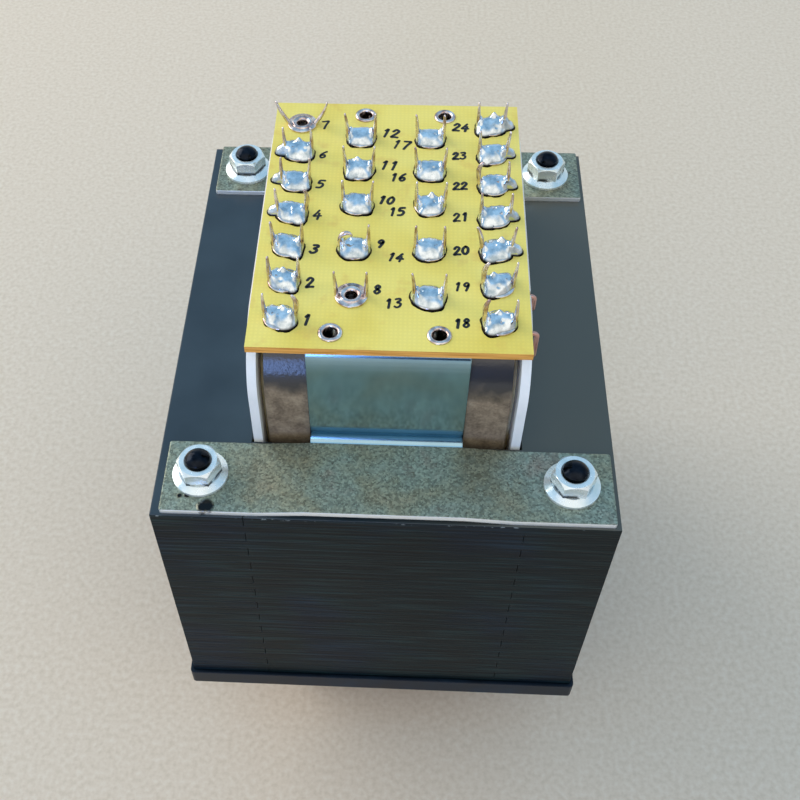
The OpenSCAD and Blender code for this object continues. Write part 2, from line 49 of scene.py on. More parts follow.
# found by fitting the core's edges, the bolts and the board in the photograph
cameraFacts = {
    "place": (0.00163, -0.17413, 0.29827),  # metres
    "downDeg": 52.81,
    "yawDeg": 4.03,
    "rollDeg": -1.5,
    "focalPx": 1104.6,
    "axisPx": (347.8, 417.3),  # where the lens axis meets the picture
    "framePx": 800.0,
    "sensorMm": 36.0,
}


def addCamera(facts):
    data = bpy.data.cameras.new("photoCamera")
    data.sensor_fit = "HORIZONTAL"
    data.sensor_width = facts["sensorMm"]
    data.lens = facts["focalPx"] * facts["sensorMm"] / facts["framePx"]
    data.shift_x = 0.5 - facts["axisPx"][0] / facts["framePx"]
    data.shift_y = facts["axisPx"][1] / facts["framePx"] - 0.5
    camera = bpy.data.objects.new("photoCamera", data)
    turn = Matrix.Rotation(math.radians(facts["yawDeg"]), 4, "Z")
    tilt = Matrix.Rotation(math.radians(90 - facts["downDeg"]), 4, "X")
    roll = Matrix.Rotation(math.radians(facts["rollDeg"]), 4, "Z")
    camera.matrix_world = Matrix.Translation(facts["place"]) @ turn @ tilt @ roll
    scene.collection.objects.link(camera)
    scene.camera = camera


addCamera(cameraFacts)
print("camera placed")


# places read from the frame

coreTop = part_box("e_laminations")[1].z
boardUnder, boardTop = (corner.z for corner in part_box("terminal_board"))
weldMm = 0.001  # corners closer than this are one


def islandPlaces(nodeName):
    # middle of each separate solid of a node, seen from above, from left to right and front to rear
    bm = bmesh.new()
    bm.from_mesh(nodes[nodeName].data)
    bmesh.ops.remove_doubles(bm, verts=bm.verts, dist=weldMm * mm)
    left = set(bm.verts)
    places = []
    while left:
        reach = [left.pop()]
        low, high = reach[0].co.copy(), reach[0].co.copy()
        while reach:
            vert = reach.pop()
            for axis in range(3):
                low[axis] = min(low[axis], vert.co[axis])
                high[axis] = max(high[axis], vert.co[axis])
            for edge in vert.link_edges:
                other = edge.other_vert(vert)
                if other in left:
                    left.remove(other)
                    reach.append(other)
        places.append(((low.x + high.x) / 2, (low.y + high.y) / 2))
    bm.free()
    return sorted(places, key=lambda p: (round(p[0], 4), p[1]))


# tools for the materials

def linear(code):
    # sRGB hex to the linear colour that Blender's sockets take
    parts = [int(code[i:i + 2], 16) / 255 for i in (1, 3, 5)]
    return tuple(p / 12.92 if p <= 0.04045 else ((p + 0.055) / 1.055) ** 2.4 for p in parts) + (1.0,)


def join(tree, node, links):
    for key, source in links.items():
        tree.links.new(source, node.inputs[key])


def addNode(tree, kind, settings=None, links=None):
    # settings go to the node's own values, or else to its sockets; "stops" fills a colour ramp
    node = tree.nodes.new(kind)
    for key, value in (settings or {}).items():
        if key == "stops":
            ramp = node.color_ramp
            while len(ramp.elements) < len(value):
                ramp.elements.new(0.5)
            for stop, (place, colour) in zip(ramp.elements, value):
                stop.position = place
                stop.color = linear(colour) if isinstance(colour, str) else (colour, colour, colour, 1.0)
        elif isinstance(key, str) and hasattr(node, key):
            setattr(node, key, value)
        else:
            node.inputs[key].default_value = value
    join(tree, node, links or {})
    return node


def newFinish(name, settings):
    # a material with one Principled shader; gives the tree, the shader and metre coordinates
    finish = bpy.data.materials.new(name)
    finish.use_nodes = True
    tree = finish.node_tree
    tree.nodes.clear()
    shader = addNode(tree, "ShaderNodeBsdfPrincipled", settings)
    addNode(tree, "ShaderNodeOutputMaterial", {}, {"Surface": shader.outputs["BSDF"]})
    coords = addNode(tree, "ShaderNodeTexCoord").outputs["Object"]
    return finish, tree, shader, coords


def perMetre(sizeMm):
    # how often a pattern of this size repeats in a metre
    return 1000.0 / sizeMm


waveTurn = 2 * math.pi / 20  # scale at which the wave texture repeats once in a unit
noiseSpan = (0.3, 0.7)  # most of a noise lies between these
levelFrom = 0.5  # a face is level where the upright part of its normal is above this
bevelRays = 6  # bevels turn the normals round sharp edges, which then catch the light as broken edges do

laminationLook = {
    "streakMm": 1.9, "streakRunMm": 28.0, "streakShare": 0.3,
    "scratchMm": 0.7, "scratchRunMm": 20.0,  # sheets are 0.5 mm: drawn coarser to show in the render
    "lines": [(0.46, "#081116"), (0.65, "#0b1c22"), (0.88, "#1f363b")],
    "lineRelief": 0.45, "lineDepthMm": 0.15,
    # blue, green and brown tints of the varnish
    "tintMm": 22.0, "tints": [(0.35, "#b9cdf0"), (0.5, "#cfe0d6"), (0.65, "#e6d3c4")],
    "cloudMm": 18.0, "top": [(0.35, "#253139"), (0.65, "#303d45")],
    # the top blends into this lighter brownish grey from left to right
    "toneShift": "#4e5049", "shiftFrom": -4.0, "shiftTo": 36.0,  # mm, left to right
    # pale specks on the sides' top edge: rubbed varnish and a painted highlight
    "wornAndHighlight": "#8b979b", "edgeBandMm": 0.7, "chipMm": 1.2, "chipped": (0.6, 0.68),
    "edgeR": 0.35,
    "topRough": 0.28, "edgeRough": 0.45, "topShine": 0.5, "edgeShine": 0.15,
}


def varnishedSteel(look):
    # stacked silicon steel sheets, dipped in black varnish: a smooth bluish top and streaked edges
    finish, tree, shader, coords = newFinish("varnished silicon steel", {})
    run = perMetre(look["streakRunMm"])
    along = addNode(tree, "ShaderNodeMapping", {"Scale": (run, run, perMetre(look["streakMm"]))},
                    {"Vector": coords})
    streak = addNode(tree, "ShaderNodeTexNoise", {"Scale": 1.0, "Detail": 3.0},
                     {"Vector": along.outputs["Vector"]})
    run = perMetre(look["scratchRunMm"])
    fine = addNode(tree, "ShaderNodeMapping", {"Scale": (run, run, perMetre(look["scratchMm"]))},
                   {"Vector": coords})
    scratch = addNode(tree, "ShaderNodeTexNoise", {"Scale": 1.0, "Detail": 2.0},
                      {"Vector": fine.outputs["Vector"]})
    both = addNode(tree, "ShaderNodeMath", {"operation": "MULTIPLY_ADD", 1: look["streakShare"]},
                   {0: streak.outputs["Fac"], 2: scratch.outputs["Fac"]})
    lines = addNode(tree, "ShaderNodeValToRGB", {"stops": look["lines"]}, {"Fac": both.outputs[0]})
    drift = addNode(tree, "ShaderNodeTexNoise", {"Scale": perMetre(look["tintMm"]), "Detail": 4.0},
                    {"Vector": coords})
    tint = addNode(tree, "ShaderNodeValToRGB", {"stops": look["tints"]}, {"Fac": drift.outputs["Fac"]})
    edgeColour = addNode(tree, "ShaderNodeVectorMath", {"operation": "MULTIPLY"},
                         {0: lines.outputs["Color"], 1: tint.outputs["Color"]})
    cloud = addNode(tree, "ShaderNodeTexNoise", {"Scale": perMetre(look["cloudMm"]), "Detail": 4.0},
                    {"Vector": coords})
    topColour = addNode(tree, "ShaderNodeValToRGB", {"stops": look["top"]}, {"Fac": cloud.outputs["Fac"]})
    # the top turns lighter and browner towards the right
    place = addNode(tree, "ShaderNodeSeparateXYZ", {}, {0: coords})
    rightward = addNode(tree, "ShaderNodeMapRange", {
        "From Min": look["shiftFrom"] * mm, "From Max": look["shiftTo"] * mm}, {"Value": place.outputs["X"]})
    topShifted = addNode(tree, "ShaderNodeMix", {"data_type": "RGBA", 7: linear(look["toneShift"])},
                       {0: rightward.outputs[0], 6: topColour.outputs["Color"]})
    normal = addNode(tree, "ShaderNodeNewGeometry").outputs["Normal"]
    upward = addNode(tree, "ShaderNodeSeparateXYZ", {}, {0: normal}).outputs["Z"]
    isTop = addNode(tree, "ShaderNodeMath", {"operation": "GREATER_THAN", 1: levelFrom},
                    {0: upward}).outputs[0]
    body = addNode(tree, "ShaderNodeMix", {"data_type": "RGBA"},
                   {0: isTop, 6: edgeColour.outputs[0], 7: topShifted.outputs[2]})
    # rubbed varnish and a painted edge highlight, in pale specks along the top edge of the sides
    nearTop = addNode(tree, "ShaderNodeMapRange", {
        "From Min": coreTop - look["edgeBandMm"] * mm, "From Max": coreTop}, {"Value": place.outputs["Z"]})
    chip = addNode(tree, "ShaderNodeTexNoise", {"Scale": perMetre(look["chipMm"]), "Detail": 3.0},
                   {"Vector": coords})
    rubbedAndLit = addNode(tree, "ShaderNodeMapRange", {
        "From Min": look["chipped"][0], "From Max": look["chipped"][1]}, {"Value": chip.outputs["Fac"]})
    sideOnly = addNode(tree, "ShaderNodeMath", {"operation": "SUBTRACT", 0: 1.0}, {1: isTop})
    edgeSpecks = addNode(tree, "ShaderNodeMath", {"operation": "MULTIPLY"},
                         {0: nearTop.outputs[0], 1: rubbedAndLit.outputs[0]})
    specks = addNode(tree, "ShaderNodeMath", {"operation": "MULTIPLY"},
                     {0: edgeSpecks.outputs[0], 1: sideOnly.outputs[0]})
    colour = addNode(tree, "ShaderNodeMix", {"data_type": "RGBA", 7: linear(look["wornAndHighlight"])},
                     {0: specks.outputs[0], 6: body.outputs[2]})
    rough = addNode(tree, "ShaderNodeMapRange", {"To Min": look["edgeRough"], "To Max": look["topRough"]},
                    {"Value": isTop})
    shine = addNode(tree, "ShaderNodeMapRange", {"To Min": look["edgeShine"], "To Max": look["topShine"]},
                    {"Value": isTop})
    relief = addNode(tree, "ShaderNodeMath", {"operation": "MULTIPLY_ADD", 1: -1.0},
                     {0: isTop, 2: both.outputs[0]})
    bevel = addNode(tree, "ShaderNodeBevel", {"samples": bevelRays, "Radius": look["edgeR"] * mm})
    bump = addNode(tree, "ShaderNodeBump", {
        "Strength": look["lineRelief"], "Distance": look["lineDepthMm"] * mm},
        {"Height": relief.outputs[0], "Normal": bevel.outputs["Normal"]})
    join(tree, shader, {"Base Color": colour.outputs[2], "Roughness": rough.outputs[0],
                        "Specular IOR Level": shine.outputs[0], "Normal": bump.outputs[0]})
    return finish


enamelLook = {
    "dustMm": 9.0, "coat": [(0.35, "#0a131c"), (0.6, "#0f1d2a"), (0.8, "#182b3a")],
    "rough": (0.26, 0.5), "shine": 0.2,
    "peelMm": 1.6, "peel": 0.12, "peelDepthMm": 0.05,
    "edgeR": 0.5,
}


def bakedEnamel(look):
    # black stoved paint on pressed steel: deep navy black with a faint orange peel
    finish, tree, shader, coords = newFinish("stoved black enamel", {"Specular IOR Level": look["shine"]})
    peel = addNode(tree, "ShaderNodeTexNoise", {"Scale": perMetre(look["peelMm"]), "Detail": 2.0},
                   {"Vector": coords})
    toneShift = addNode(tree, "ShaderNodeTexNoise", {"Scale": perMetre(look["dustMm"]), "Detail": 5.0},
                   {"Vector": coords})
    colour = addNode(tree, "ShaderNodeValToRGB", {"stops": look["coat"]}, {"Fac": toneShift.outputs["Fac"]})
    rough = addNode(tree, "ShaderNodeMapRange", {"To Min": look["rough"][0], "To Max": look["rough"][1]},
                    {"Value": toneShift.outputs["Fac"]})
    bevel = addNode(tree, "ShaderNodeBevel", {"samples": bevelRays, "Radius": look["edgeR"] * mm})
    bump = addNode(tree, "ShaderNodeBump", {"Strength": look["peel"], "Distance": look["peelDepthMm"] * mm},
                   {"Height": peel.outputs["Fac"], "Normal": bevel.outputs["Normal"]})
    join(tree, shader, {"Base Color": colour.outputs["Color"], "Roughness": rough.outputs[0],
                        "Normal": bump.outputs[0]})
    return finish


nylonLook = {
    "mottleMm": 3.5, "tones": [(0.3, "#f0f7f7"), (0.55, "#f6fbfb"), (0.8, "#f9fdfd")],
    "rough": (0.38, 0.55), "ior": 1.53,
    "grainMm": 0.7, "grain": 0.15, "grainDepthMm": 0.05,
    "glow": 0.05, "glowMm": 0.6,
}


def mouldedNylon(look):
    # white glass-filled nylon: slightly mottled, soft sheen, greyed by handling
    glowDepth = look["glowMm"] * mm
    finish, tree, shader, coords = newFinish("glass-filled nylon", {
        "IOR": look["ior"], "Subsurface Weight": look["glow"],
        "Subsurface Radius": (glowDepth, glowDepth, glowDepth)})
    mottle = addNode(tree, "ShaderNodeTexNoise", {"Scale": perMetre(look["mottleMm"]), "Detail": 5.0},
                     {"Vector": coords})
    colour = addNode(tree, "ShaderNodeValToRGB", {"stops": look["tones"]}, {"Fac": mottle.outputs["Fac"]})
    rough = addNode(tree, "ShaderNodeMapRange", {"To Min": look["rough"][0], "To Max": look["rough"][1]},
                    {"Value": mottle.outputs["Fac"]})
    grain = addNode(tree, "ShaderNodeTexNoise", {"Scale": perMetre(look["grainMm"]), "Detail": 2.0},
                    {"Vector": coords})
    bump = addNode(tree, "ShaderNodeBump", {"Strength": look["grain"], "Distance": look["grainDepthMm"] * mm},
                   {"Height": grain.outputs["Fac"]})
    join(tree, shader, {"Base Color": colour.outputs["Color"], "Roughness": rough.outputs[0],
                        "Normal": bump.outputs[0]})
    return finish


wrapLook = {
    "stainMm": 4.0, "pulpMm": 0.6, "pulpShare": 0.35,
    "paper": [(0.5, "#6b5d4b"), (0.68, "#8d7d66"), (0.88, "#aa9a80")],
    # the dark upper band under the glossy coat, in shares of the height above the core
    "darkUpper": "#191512", "darkUpperFrom": 0.58, "darkUpperWave": 0.07, "darkUpperFade": 0.06, "waveMm": 6.0,
    "paperRough": 0.7, "darkUpperRough": 0.4, "varnishRough": 0.15,
    "fibre": 0.15, "runs": 0.4, "depthMm": 0.1,
}


def kraftPaper(look):
    # brown kraft paper: mottled and matt below, dark under a glossy coat towards the top of the coil
    finish, tree, shader, coords = newFinish("varnished kraft paper", {
        "Coat Roughness": look["varnishRough"]})
    stain = addNode(tree, "ShaderNodeTexNoise", {
        "Scale": perMetre(look["stainMm"]), "Detail": 6.0, "Roughness": 0.65}, {"Vector": coords})
    pulp = addNode(tree, "ShaderNodeTexNoise", {"Scale": perMetre(look["pulpMm"]), "Detail": 3.0},
                   {"Vector": coords})
    mixed = addNode(tree, "ShaderNodeMath", {"operation": "MULTIPLY_ADD", 1: look["pulpShare"]},
                    {0: pulp.outputs["Fac"], 2: stain.outputs["Fac"]})
    paper = addNode(tree, "ShaderNodeValToRGB", {"stops": look["paper"]}, {"Fac": mixed.outputs[0]})
    height = addNode(tree, "ShaderNodeSeparateXYZ", {}, {0: coords}).outputs["Z"]
    share = addNode(tree, "ShaderNodeMapRange", {
        "From Min": coreTop, "From Max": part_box("outer_wrap")[1].z}, {"Value": height})
    tide = addNode(tree, "ShaderNodeTexNoise", {"Scale": perMetre(look["waveMm"]), "Detail": 2.0},
                   {"Vector": coords})
    wavy = addNode(tree, "ShaderNodeMath", {"operation": "MULTIPLY_ADD", 1: 4 * look["darkUpperWave"]},
                   {0: tide.outputs["Fac"], 2: share.outputs[0]})
    middle = look["darkUpperFrom"] + 2 * look["darkUpperWave"]
    darkUpper = addNode(tree, "ShaderNodeMapRange", {
        "From Min": middle - look["darkUpperFade"], "From Max": middle + look["darkUpperFade"]},
        {"Value": wavy.outputs[0]}).outputs[0]
    colour = addNode(tree, "ShaderNodeMix", {"data_type": "RGBA", 7: linear(look["darkUpper"])},
                     {0: darkUpper, 6: paper.outputs["Color"]})
    rough = addNode(tree, "ShaderNodeMapRange", {
        "To Min": look["paperRough"], "To Max": look["darkUpperRough"]}, {"Value": darkUpper})
    bump = addNode(tree, "ShaderNodeBump", {"Strength": look["fibre"], "Distance": look["depthMm"] * mm},
                   {"Height": mixed.outputs[0]})
    runs = addNode(tree, "ShaderNodeBump", {"Strength": look["runs"], "Distance": look["depthMm"] * mm},
                   {"Height": pulp.outputs["Fac"]})
    join(tree, shader, {"Base Color": colour.outputs[2], "Roughness": rough.outputs[0],
                        "Normal": bump.outputs[0], "Coat Weight": darkUpper, "Coat Normal": runs.outputs[0]})
    return finish


windingLook = {"copper": [(0.35, "#8e4526"), (0.7, "#b8693f")], "ribMm": 0.9}
leadLook = {"copper": [(0.35, "#b98378"), (0.7, "#e0b3a6")], "ribMm": 30.0}  # no turns, only a slow wave
wireLook = {
    "toneMm": 5.0, "rough": (0.2, 0.42), "lacquer": 0.4, "lacquerRough": 0.15,
    "ribs": 0.3, "ribDepthMm": 0.1,
}


def enamelledCopper(name, look, wire):
    # lacquered copper wire: warm pink metal, wound turns show as fine ribs round the coil
    finish, tree, shader, coords = newFinish(name, {
        "Metallic": 1.0, "Coat Weight": wire["lacquer"], "Coat Roughness": wire["lacquerRough"]})
    tone = addNode(tree, "ShaderNodeTexNoise", {"Scale": perMetre(wire["toneMm"]), "Detail": 3.0},
                   {"Vector": coords})
    colour = addNode(tree, "ShaderNodeValToRGB", {"stops": look["copper"]}, {"Fac": tone.outputs["Fac"]})
    rough = addNode(tree, "ShaderNodeMapRange", {"To Min": wire["rough"][0], "To Max": wire["rough"][1]},
                    {"Value": tone.outputs["Fac"]})
    turns = addNode(tree, "ShaderNodeTexWave", {
        "wave_type": "BANDS", "bands_direction": "X", "Scale": perMetre(look["ribMm"]) * waveTurn},
        {"Vector": coords})
    bump = addNode(tree, "ShaderNodeBump", {"Strength": wire["ribs"], "Distance": wire["ribDepthMm"] * mm},
                   {"Height": turns.outputs["Fac"]})
    join(tree, shader, {"Base Color": colour.outputs["Color"], "Roughness": rough.outputs[0],
                        "Normal": bump.outputs[0]})
    return finish


pressboardLook = {
    "fibreMm": 2.0, "tones": [(0.3, "#c9ba8e"), (0.7, "#e2d6b2")],
    "rough": 0.75, "relief": 0.2, "depthMm": 0.05,
}


def fishPaper(look):
    # pale pressboard between the windings: matt, with soft fibre clouds
    finish, tree, shader, coords = newFinish("pale pressboard", {"Roughness": look["rough"]})
    fibre = addNode(tree, "ShaderNodeTexNoise", {"Scale": perMetre(look["fibreMm"]), "Detail": 6.0},
                    {"Vector": coords})
    colour = addNode(tree, "ShaderNodeValToRGB", {"stops": look["tones"]}, {"Fac": fibre.outputs["Fac"]})
    bump = addNode(tree, "ShaderNodeBump", {"Strength": look["relief"], "Distance": look["depthMm"] * mm},
                   {"Height": fibre.outputs["Fac"]})
    join(tree, shader, {"Base Color": colour.outputs["Color"], "Normal": bump.outputs[0]})
    return finish


tinplateLook = {
    "rollMm": 1.0, "rollRunMm": 30.0, "roll": 0.08, "rollDepthMm": 0.05,
    "tarnishMm": 12.0, "tones": [(0.3, "#95b7c8"), (0.6, "#9dc0d1"), (0.85, "#a7cada")],
    "rough": (0.1, 0.2),
    "edgeR": 0.4,
}


def tinnedSheet(look):
    # bright tinned steel, rolled: near mirror with faint rolling lines across and cloudy tarnish
    finish, tree, shader, coords = newFinish("bright tinplate", {"Metallic": 1.0})
    across = perMetre(look["rollMm"])
    along = addNode(tree, "ShaderNodeMapping", {"Scale": (perMetre(look["rollRunMm"]), across, across)},
                    {"Vector": coords})
    roll = addNode(tree, "ShaderNodeTexNoise", {"Scale": 1.0, "Detail": 3.0},
                   {"Vector": along.outputs["Vector"]})
    tarnish = addNode(tree, "ShaderNodeTexNoise", {"Scale": perMetre(look["tarnishMm"]), "Detail": 4.0},
                      {"Vector": coords})
    colour = addNode(tree, "ShaderNodeValToRGB", {"stops": look["tones"]}, {"Fac": tarnish.outputs["Fac"]})
    rough = addNode(tree, "ShaderNodeMapRange", {"To Min": look["rough"][0], "To Max": look["rough"][1]},
                    {"Value": roll.outputs["Fac"]})
    bevel = addNode(tree, "ShaderNodeBevel", {"samples": bevelRays, "Radius": look["edgeR"] * mm})
    bump = addNode(tree, "ShaderNodeBump", {"Strength": look["roll"], "Distance": look["rollDepthMm"] * mm},
                   {"Height": roll.outputs["Fac"], "Normal": bevel.outputs["Normal"]})
    join(tree, shader, {"Base Color": colour.outputs["Color"], "Roughness": rough.outputs[0],
                        "Normal": bump.outputs[0]})
    return finish


zincLook = {
    # tan, olive, sage and rose tints of the chromate film
    "tintMm": 16.0, "film": [(0.3, "#968b70"), (0.45, "#8e8f78"), (0.58, "#8b9585"), (0.72, "#948675")],
    "grainMm": 0.4, "speckle": (0.54, 1.36), "grain": 0.12, "grainDepthMm": 0.05,
    "fleck": "#5b5546", "fleckMm": 1.3, "flecked": (0.66, 0.74),
    # the sheared edges: bare metal, painted near white as a highlight
    "cutEdgeAndHighlight": "#f1f4f1", "edgeR": 0.45,
    "metal": 0.6, "rough": (0.34, 0.5),
    # drops of black varnish by the front left nut: right and back of its axis, and radius, in mm
    "drops": [(2.0, -6.9, 1.0), (1.5, -7.9, 1.2), (2.5, -7.9, 1.1), (-3.7, -5.4, 0.5), (-2.2, -5.3, 0.55)],
    "varnish": "#0b0f11", "varnishRough": 0.12, "raggedMm": 1.4,
    "rim": (1.7, 1.2),  # a drop fades in between these, in radii, once a ragged 0 to 1 is added
    "bead": 0.8, "beadMm": 0.4,
}


def chromatedZinc(look):
    # zinc-plated strip, olive chromate film: fine speckle, drifting tints, and bright sheared edges painted
    # near white as a highlight
    finish, tree, shader, coords = newFinish("olive chromated zinc", {"Metallic": look["metal"]})
    tint = addNode(tree, "ShaderNodeTexNoise", {
        "Scale": perMetre(look["tintMm"]), "Detail": 5.0, "Roughness": 0.65}, {"Vector": coords})
    film = addNode(tree, "ShaderNodeValToRGB", {"stops": look["film"]}, {"Fac": tint.outputs["Fac"]})
    grain = addNode(tree, "ShaderNodeTexVoronoi", {"Scale": perMetre(look["grainMm"])}, {"Vector": coords})
    cell = addNode(tree, "ShaderNodeSeparateColor", {}, {"Color": grain.outputs["Color"]})
    speckle = addNode(tree, "ShaderNodeMapRange", {
        "To Min": look["speckle"][0], "To Max": look["speckle"][1]}, {"Value": cell.outputs["Red"]})
    darkTone = addNode(tree, "ShaderNodeTexNoise", {"Scale": perMetre(look["fleckMm"]), "Detail": 3.0},
                   {"Vector": coords})
    fleck = addNode(tree, "ShaderNodeMapRange", {
        "From Min": look["flecked"][0], "From Max": look["flecked"][1]}, {"Value": darkTone.outputs["Fac"]})
    specked = addNode(tree, "ShaderNodeVectorMath", {"operation": "MULTIPLY"},
                      {0: film.outputs["Color"], 1: speckle.outputs[0]})
    darkened = addNode(tree, "ShaderNodeMix", {"data_type": "RGBA", 7: linear(look["fleck"])},
                    {0: fleck.outputs[0], 6: specked.outputs[0]})
    normal = addNode(tree, "ShaderNodeNewGeometry").outputs["Normal"]
    upward = addNode(tree, "ShaderNodeSeparateXYZ", {}, {0: normal}).outputs["Z"]
    flat = addNode(tree, "ShaderNodeMath", {"operation": "ABSOLUTE"}, {0: upward}).outputs[0]
    isEdge = addNode(tree, "ShaderNodeMath", {"operation": "LESS_THAN", 1: levelFrom}, {0: flat}).outputs[0]
    # upright faces take the sheared-edge colour, a painted highlight on bare cut metal
    plated = addNode(tree, "ShaderNodeMix", {"data_type": "RGBA", 7: linear(look["cutEdgeAndHighlight"])},
                     {0: isEdge, 6: darkened.outputs[2]})
    rough = addNode(tree, "ShaderNodeMapRange", {"To Min": look["rough"][0], "To Max": look["rough"][1]},
                    {"Value": cell.outputs["Green"]})
    bevel = addNode(tree, "ShaderNodeBevel", {"samples": bevelRays, "Radius": look["edgeR"] * mm})
    bump = addNode(tree, "ShaderNodeBump", {"Strength": look["grain"], "Distance": look["grainDepthMm"] * mm},
                   {"Height": cell.outputs["Red"], "Normal": bevel.outputs["Normal"]})
    # the drops, seen from above
    nutX, nutY = islandPlaces("flange_nuts")[0]
    above = addNode(tree, "ShaderNodeVectorMath", {"operation": "MULTIPLY", 1: (1.0, 1.0, 0.0)}, {0: coords})
    ragged = addNode(tree, "ShaderNodeTexNoise", {"Scale": perMetre(look["raggedMm"])}, {"Vector": coords})
    drops = []
    for right, back, radius in look["drops"]:
        middle = (nutX + right * mm, nutY + back * mm, 0.0)
        away = addNode(tree, "ShaderNodeVectorMath", {"operation": "DISTANCE", 1: middle},
                       {0: above.outputs[0]})
        rim = addNode(tree, "ShaderNodeMath", {"operation": "MULTIPLY_ADD", 1: radius * mm},
                      {0: ragged.outputs["Fac"], 2: away.outputs["Value"]})
        drops.append(addNode(tree, "ShaderNodeMapRange", {
            "From Min": look["rim"][0] * radius * mm, "From Max": look["rim"][1] * radius * mm},
            {"Value": rim.outputs[0]}).outputs[0])
    dropped = drops[0]
    for drop in drops[1:]:
        dropped = addNode(tree, "ShaderNodeMath", {"operation": "MAXIMUM"}, {0: dropped, 1: drop}).outputs[0]
    colour = addNode(tree, "ShaderNodeMix", {"data_type": "RGBA", 7: linear(look["varnish"])},
                     {0: dropped, 6: plated.outputs[2]})
    gloss = addNode(tree, "ShaderNodeMix", {"data_type": "FLOAT", 3: look["varnishRough"]},
                    {0: dropped, 2: rough.outputs[0]})
    bead = addNode(tree, "ShaderNodeBump", {"Strength": look["bead"], "Distance": look["beadMm"] * mm},
                   {"Height": dropped, "Normal": bump.outputs[0]})
    join(tree, shader, {"Base Color": colour.outputs[2], "Roughness": gloss.outputs[0],
                        "Normal": bead.outputs[0]})
    return finish


laminateLook = {
    "cloudMm": 14.0, "face": [(0.3, "#ead25c"), (0.5, "#f2de6e"), (0.75, "#f7e67d")],
    "weaveMm": 0.9,  # the glass cloth is finer: drawn coarser to show
    "weaveWander": 0.6, "weaveShade": (0.97, 1.03), "weave": 0.06, "weaveDepthMm": 0.05,
    "flux": "#dcb155", "fluxMm": 5.0, "fluxFrom": (0.58, 0.8), "fluxMost": 0.7,
    "plyMm": 0.35, "plyRunMm": 9.0, "cut": [(0.35, "#c98a36"), (0.6, "#efb257")],
    "cutRough": 0.7, "faceRough": 0.42, "ior": 1.5,
}


def glassLaminate(look):
    # yellow epoxy glass laminate: satin face with a hint of cloth, sawn edges orange-brown and layered
    finish, tree, shader, coords = newFinish("yellow epoxy laminate", {"IOR": look["ior"]})
    cloud = addNode(tree, "ShaderNodeTexNoise", {"Scale": perMetre(look["cloudMm"]), "Detail": 5.0},
                    {"Vector": coords})
    face = addNode(tree, "ShaderNodeValToRGB", {"stops": look["face"]}, {"Fac": cloud.outputs["Fac"]})
    threads = []
    for direction in ("X", "Y"):
        threads.append(addNode(tree, "ShaderNodeTexWave", {
            "bands_direction": direction, "Scale": perMetre(look["weaveMm"]) * waveTurn,
            "Distortion": look["weaveWander"]}, {"Vector": coords}).outputs["Fac"])
    cloth = addNode(tree, "ShaderNodeMath", {"operation": "MULTIPLY"}, {0: threads[0], 1: threads[1]})
    run = perMetre(look["plyRunMm"])
    layers = addNode(tree, "ShaderNodeMapping", {"Scale": (run, run, perMetre(look["plyMm"]))},
                     {"Vector": coords})
    ply = addNode(tree, "ShaderNodeTexNoise", {"Scale": 1.0, "Detail": 2.0},
                  {"Vector": layers.outputs["Vector"]})
    cut = addNode(tree, "ShaderNodeValToRGB", {"stops": look["cut"]}, {"Fac": ply.outputs["Fac"]})
    normal = addNode(tree, "ShaderNodeNewGeometry").outputs["Normal"]
    upward = addNode(tree, "ShaderNodeSeparateXYZ", {}, {0: normal}).outputs["Z"]
    flat = addNode(tree, "ShaderNodeMath", {"operation": "ABSOLUTE"}, {0: upward}).outputs[0]
    isFace = addNode(tree, "ShaderNodeMath", {"operation": "GREATER_THAN", 1: levelFrom},
                     {0: flat}).outputs[0]
    shade = addNode(tree, "ShaderNodeMapRange", {
        "To Min": look["weaveShade"][0], "To Max": look["weaveShade"][1]}, {"Value": cloth.outputs[0]})
    woven = addNode(tree, "ShaderNodeVectorMath", {"operation": "MULTIPLY"},
                    {0: face.outputs["Color"], 1: shade.outputs[0]})
    # thin films of flux left by the soldering
    film = addNode(tree, "ShaderNodeTexNoise", {"Scale": perMetre(look["fluxMm"]), "Detail": 3.0},
                   {"Vector": coords})
    flux = addNode(tree, "ShaderNodeMapRange", {
        "From Min": look["fluxFrom"][0], "From Max": look["fluxFrom"][1], "To Max": look["fluxMost"]},
        {"Value": film.outputs["Fac"]})
    stained = addNode(tree, "ShaderNodeMix", {"data_type": "RGBA", 7: linear(look["flux"])},
                      {0: flux.outputs[0], 6: woven.outputs[0]})
    colour = addNode(tree, "ShaderNodeMix", {"data_type": "RGBA"},
                     {0: isFace, 6: cut.outputs["Color"], 7: stained.outputs[2]})
    rough = addNode(tree, "ShaderNodeMapRange", {"To Min": look["cutRough"], "To Max": look["faceRough"]},
                    {"Value": isFace})
    bump = addNode(tree, "ShaderNodeBump", {"Strength": look["weave"], "Distance": look["weaveDepthMm"] * mm},
                   {"Height": cloth.outputs[0]})
    join(tree, shader, {"Base Color": colour.outputs[2], "Roughness": rough.outputs[0],
                        "Normal": bump.outputs[0]})
    return finish


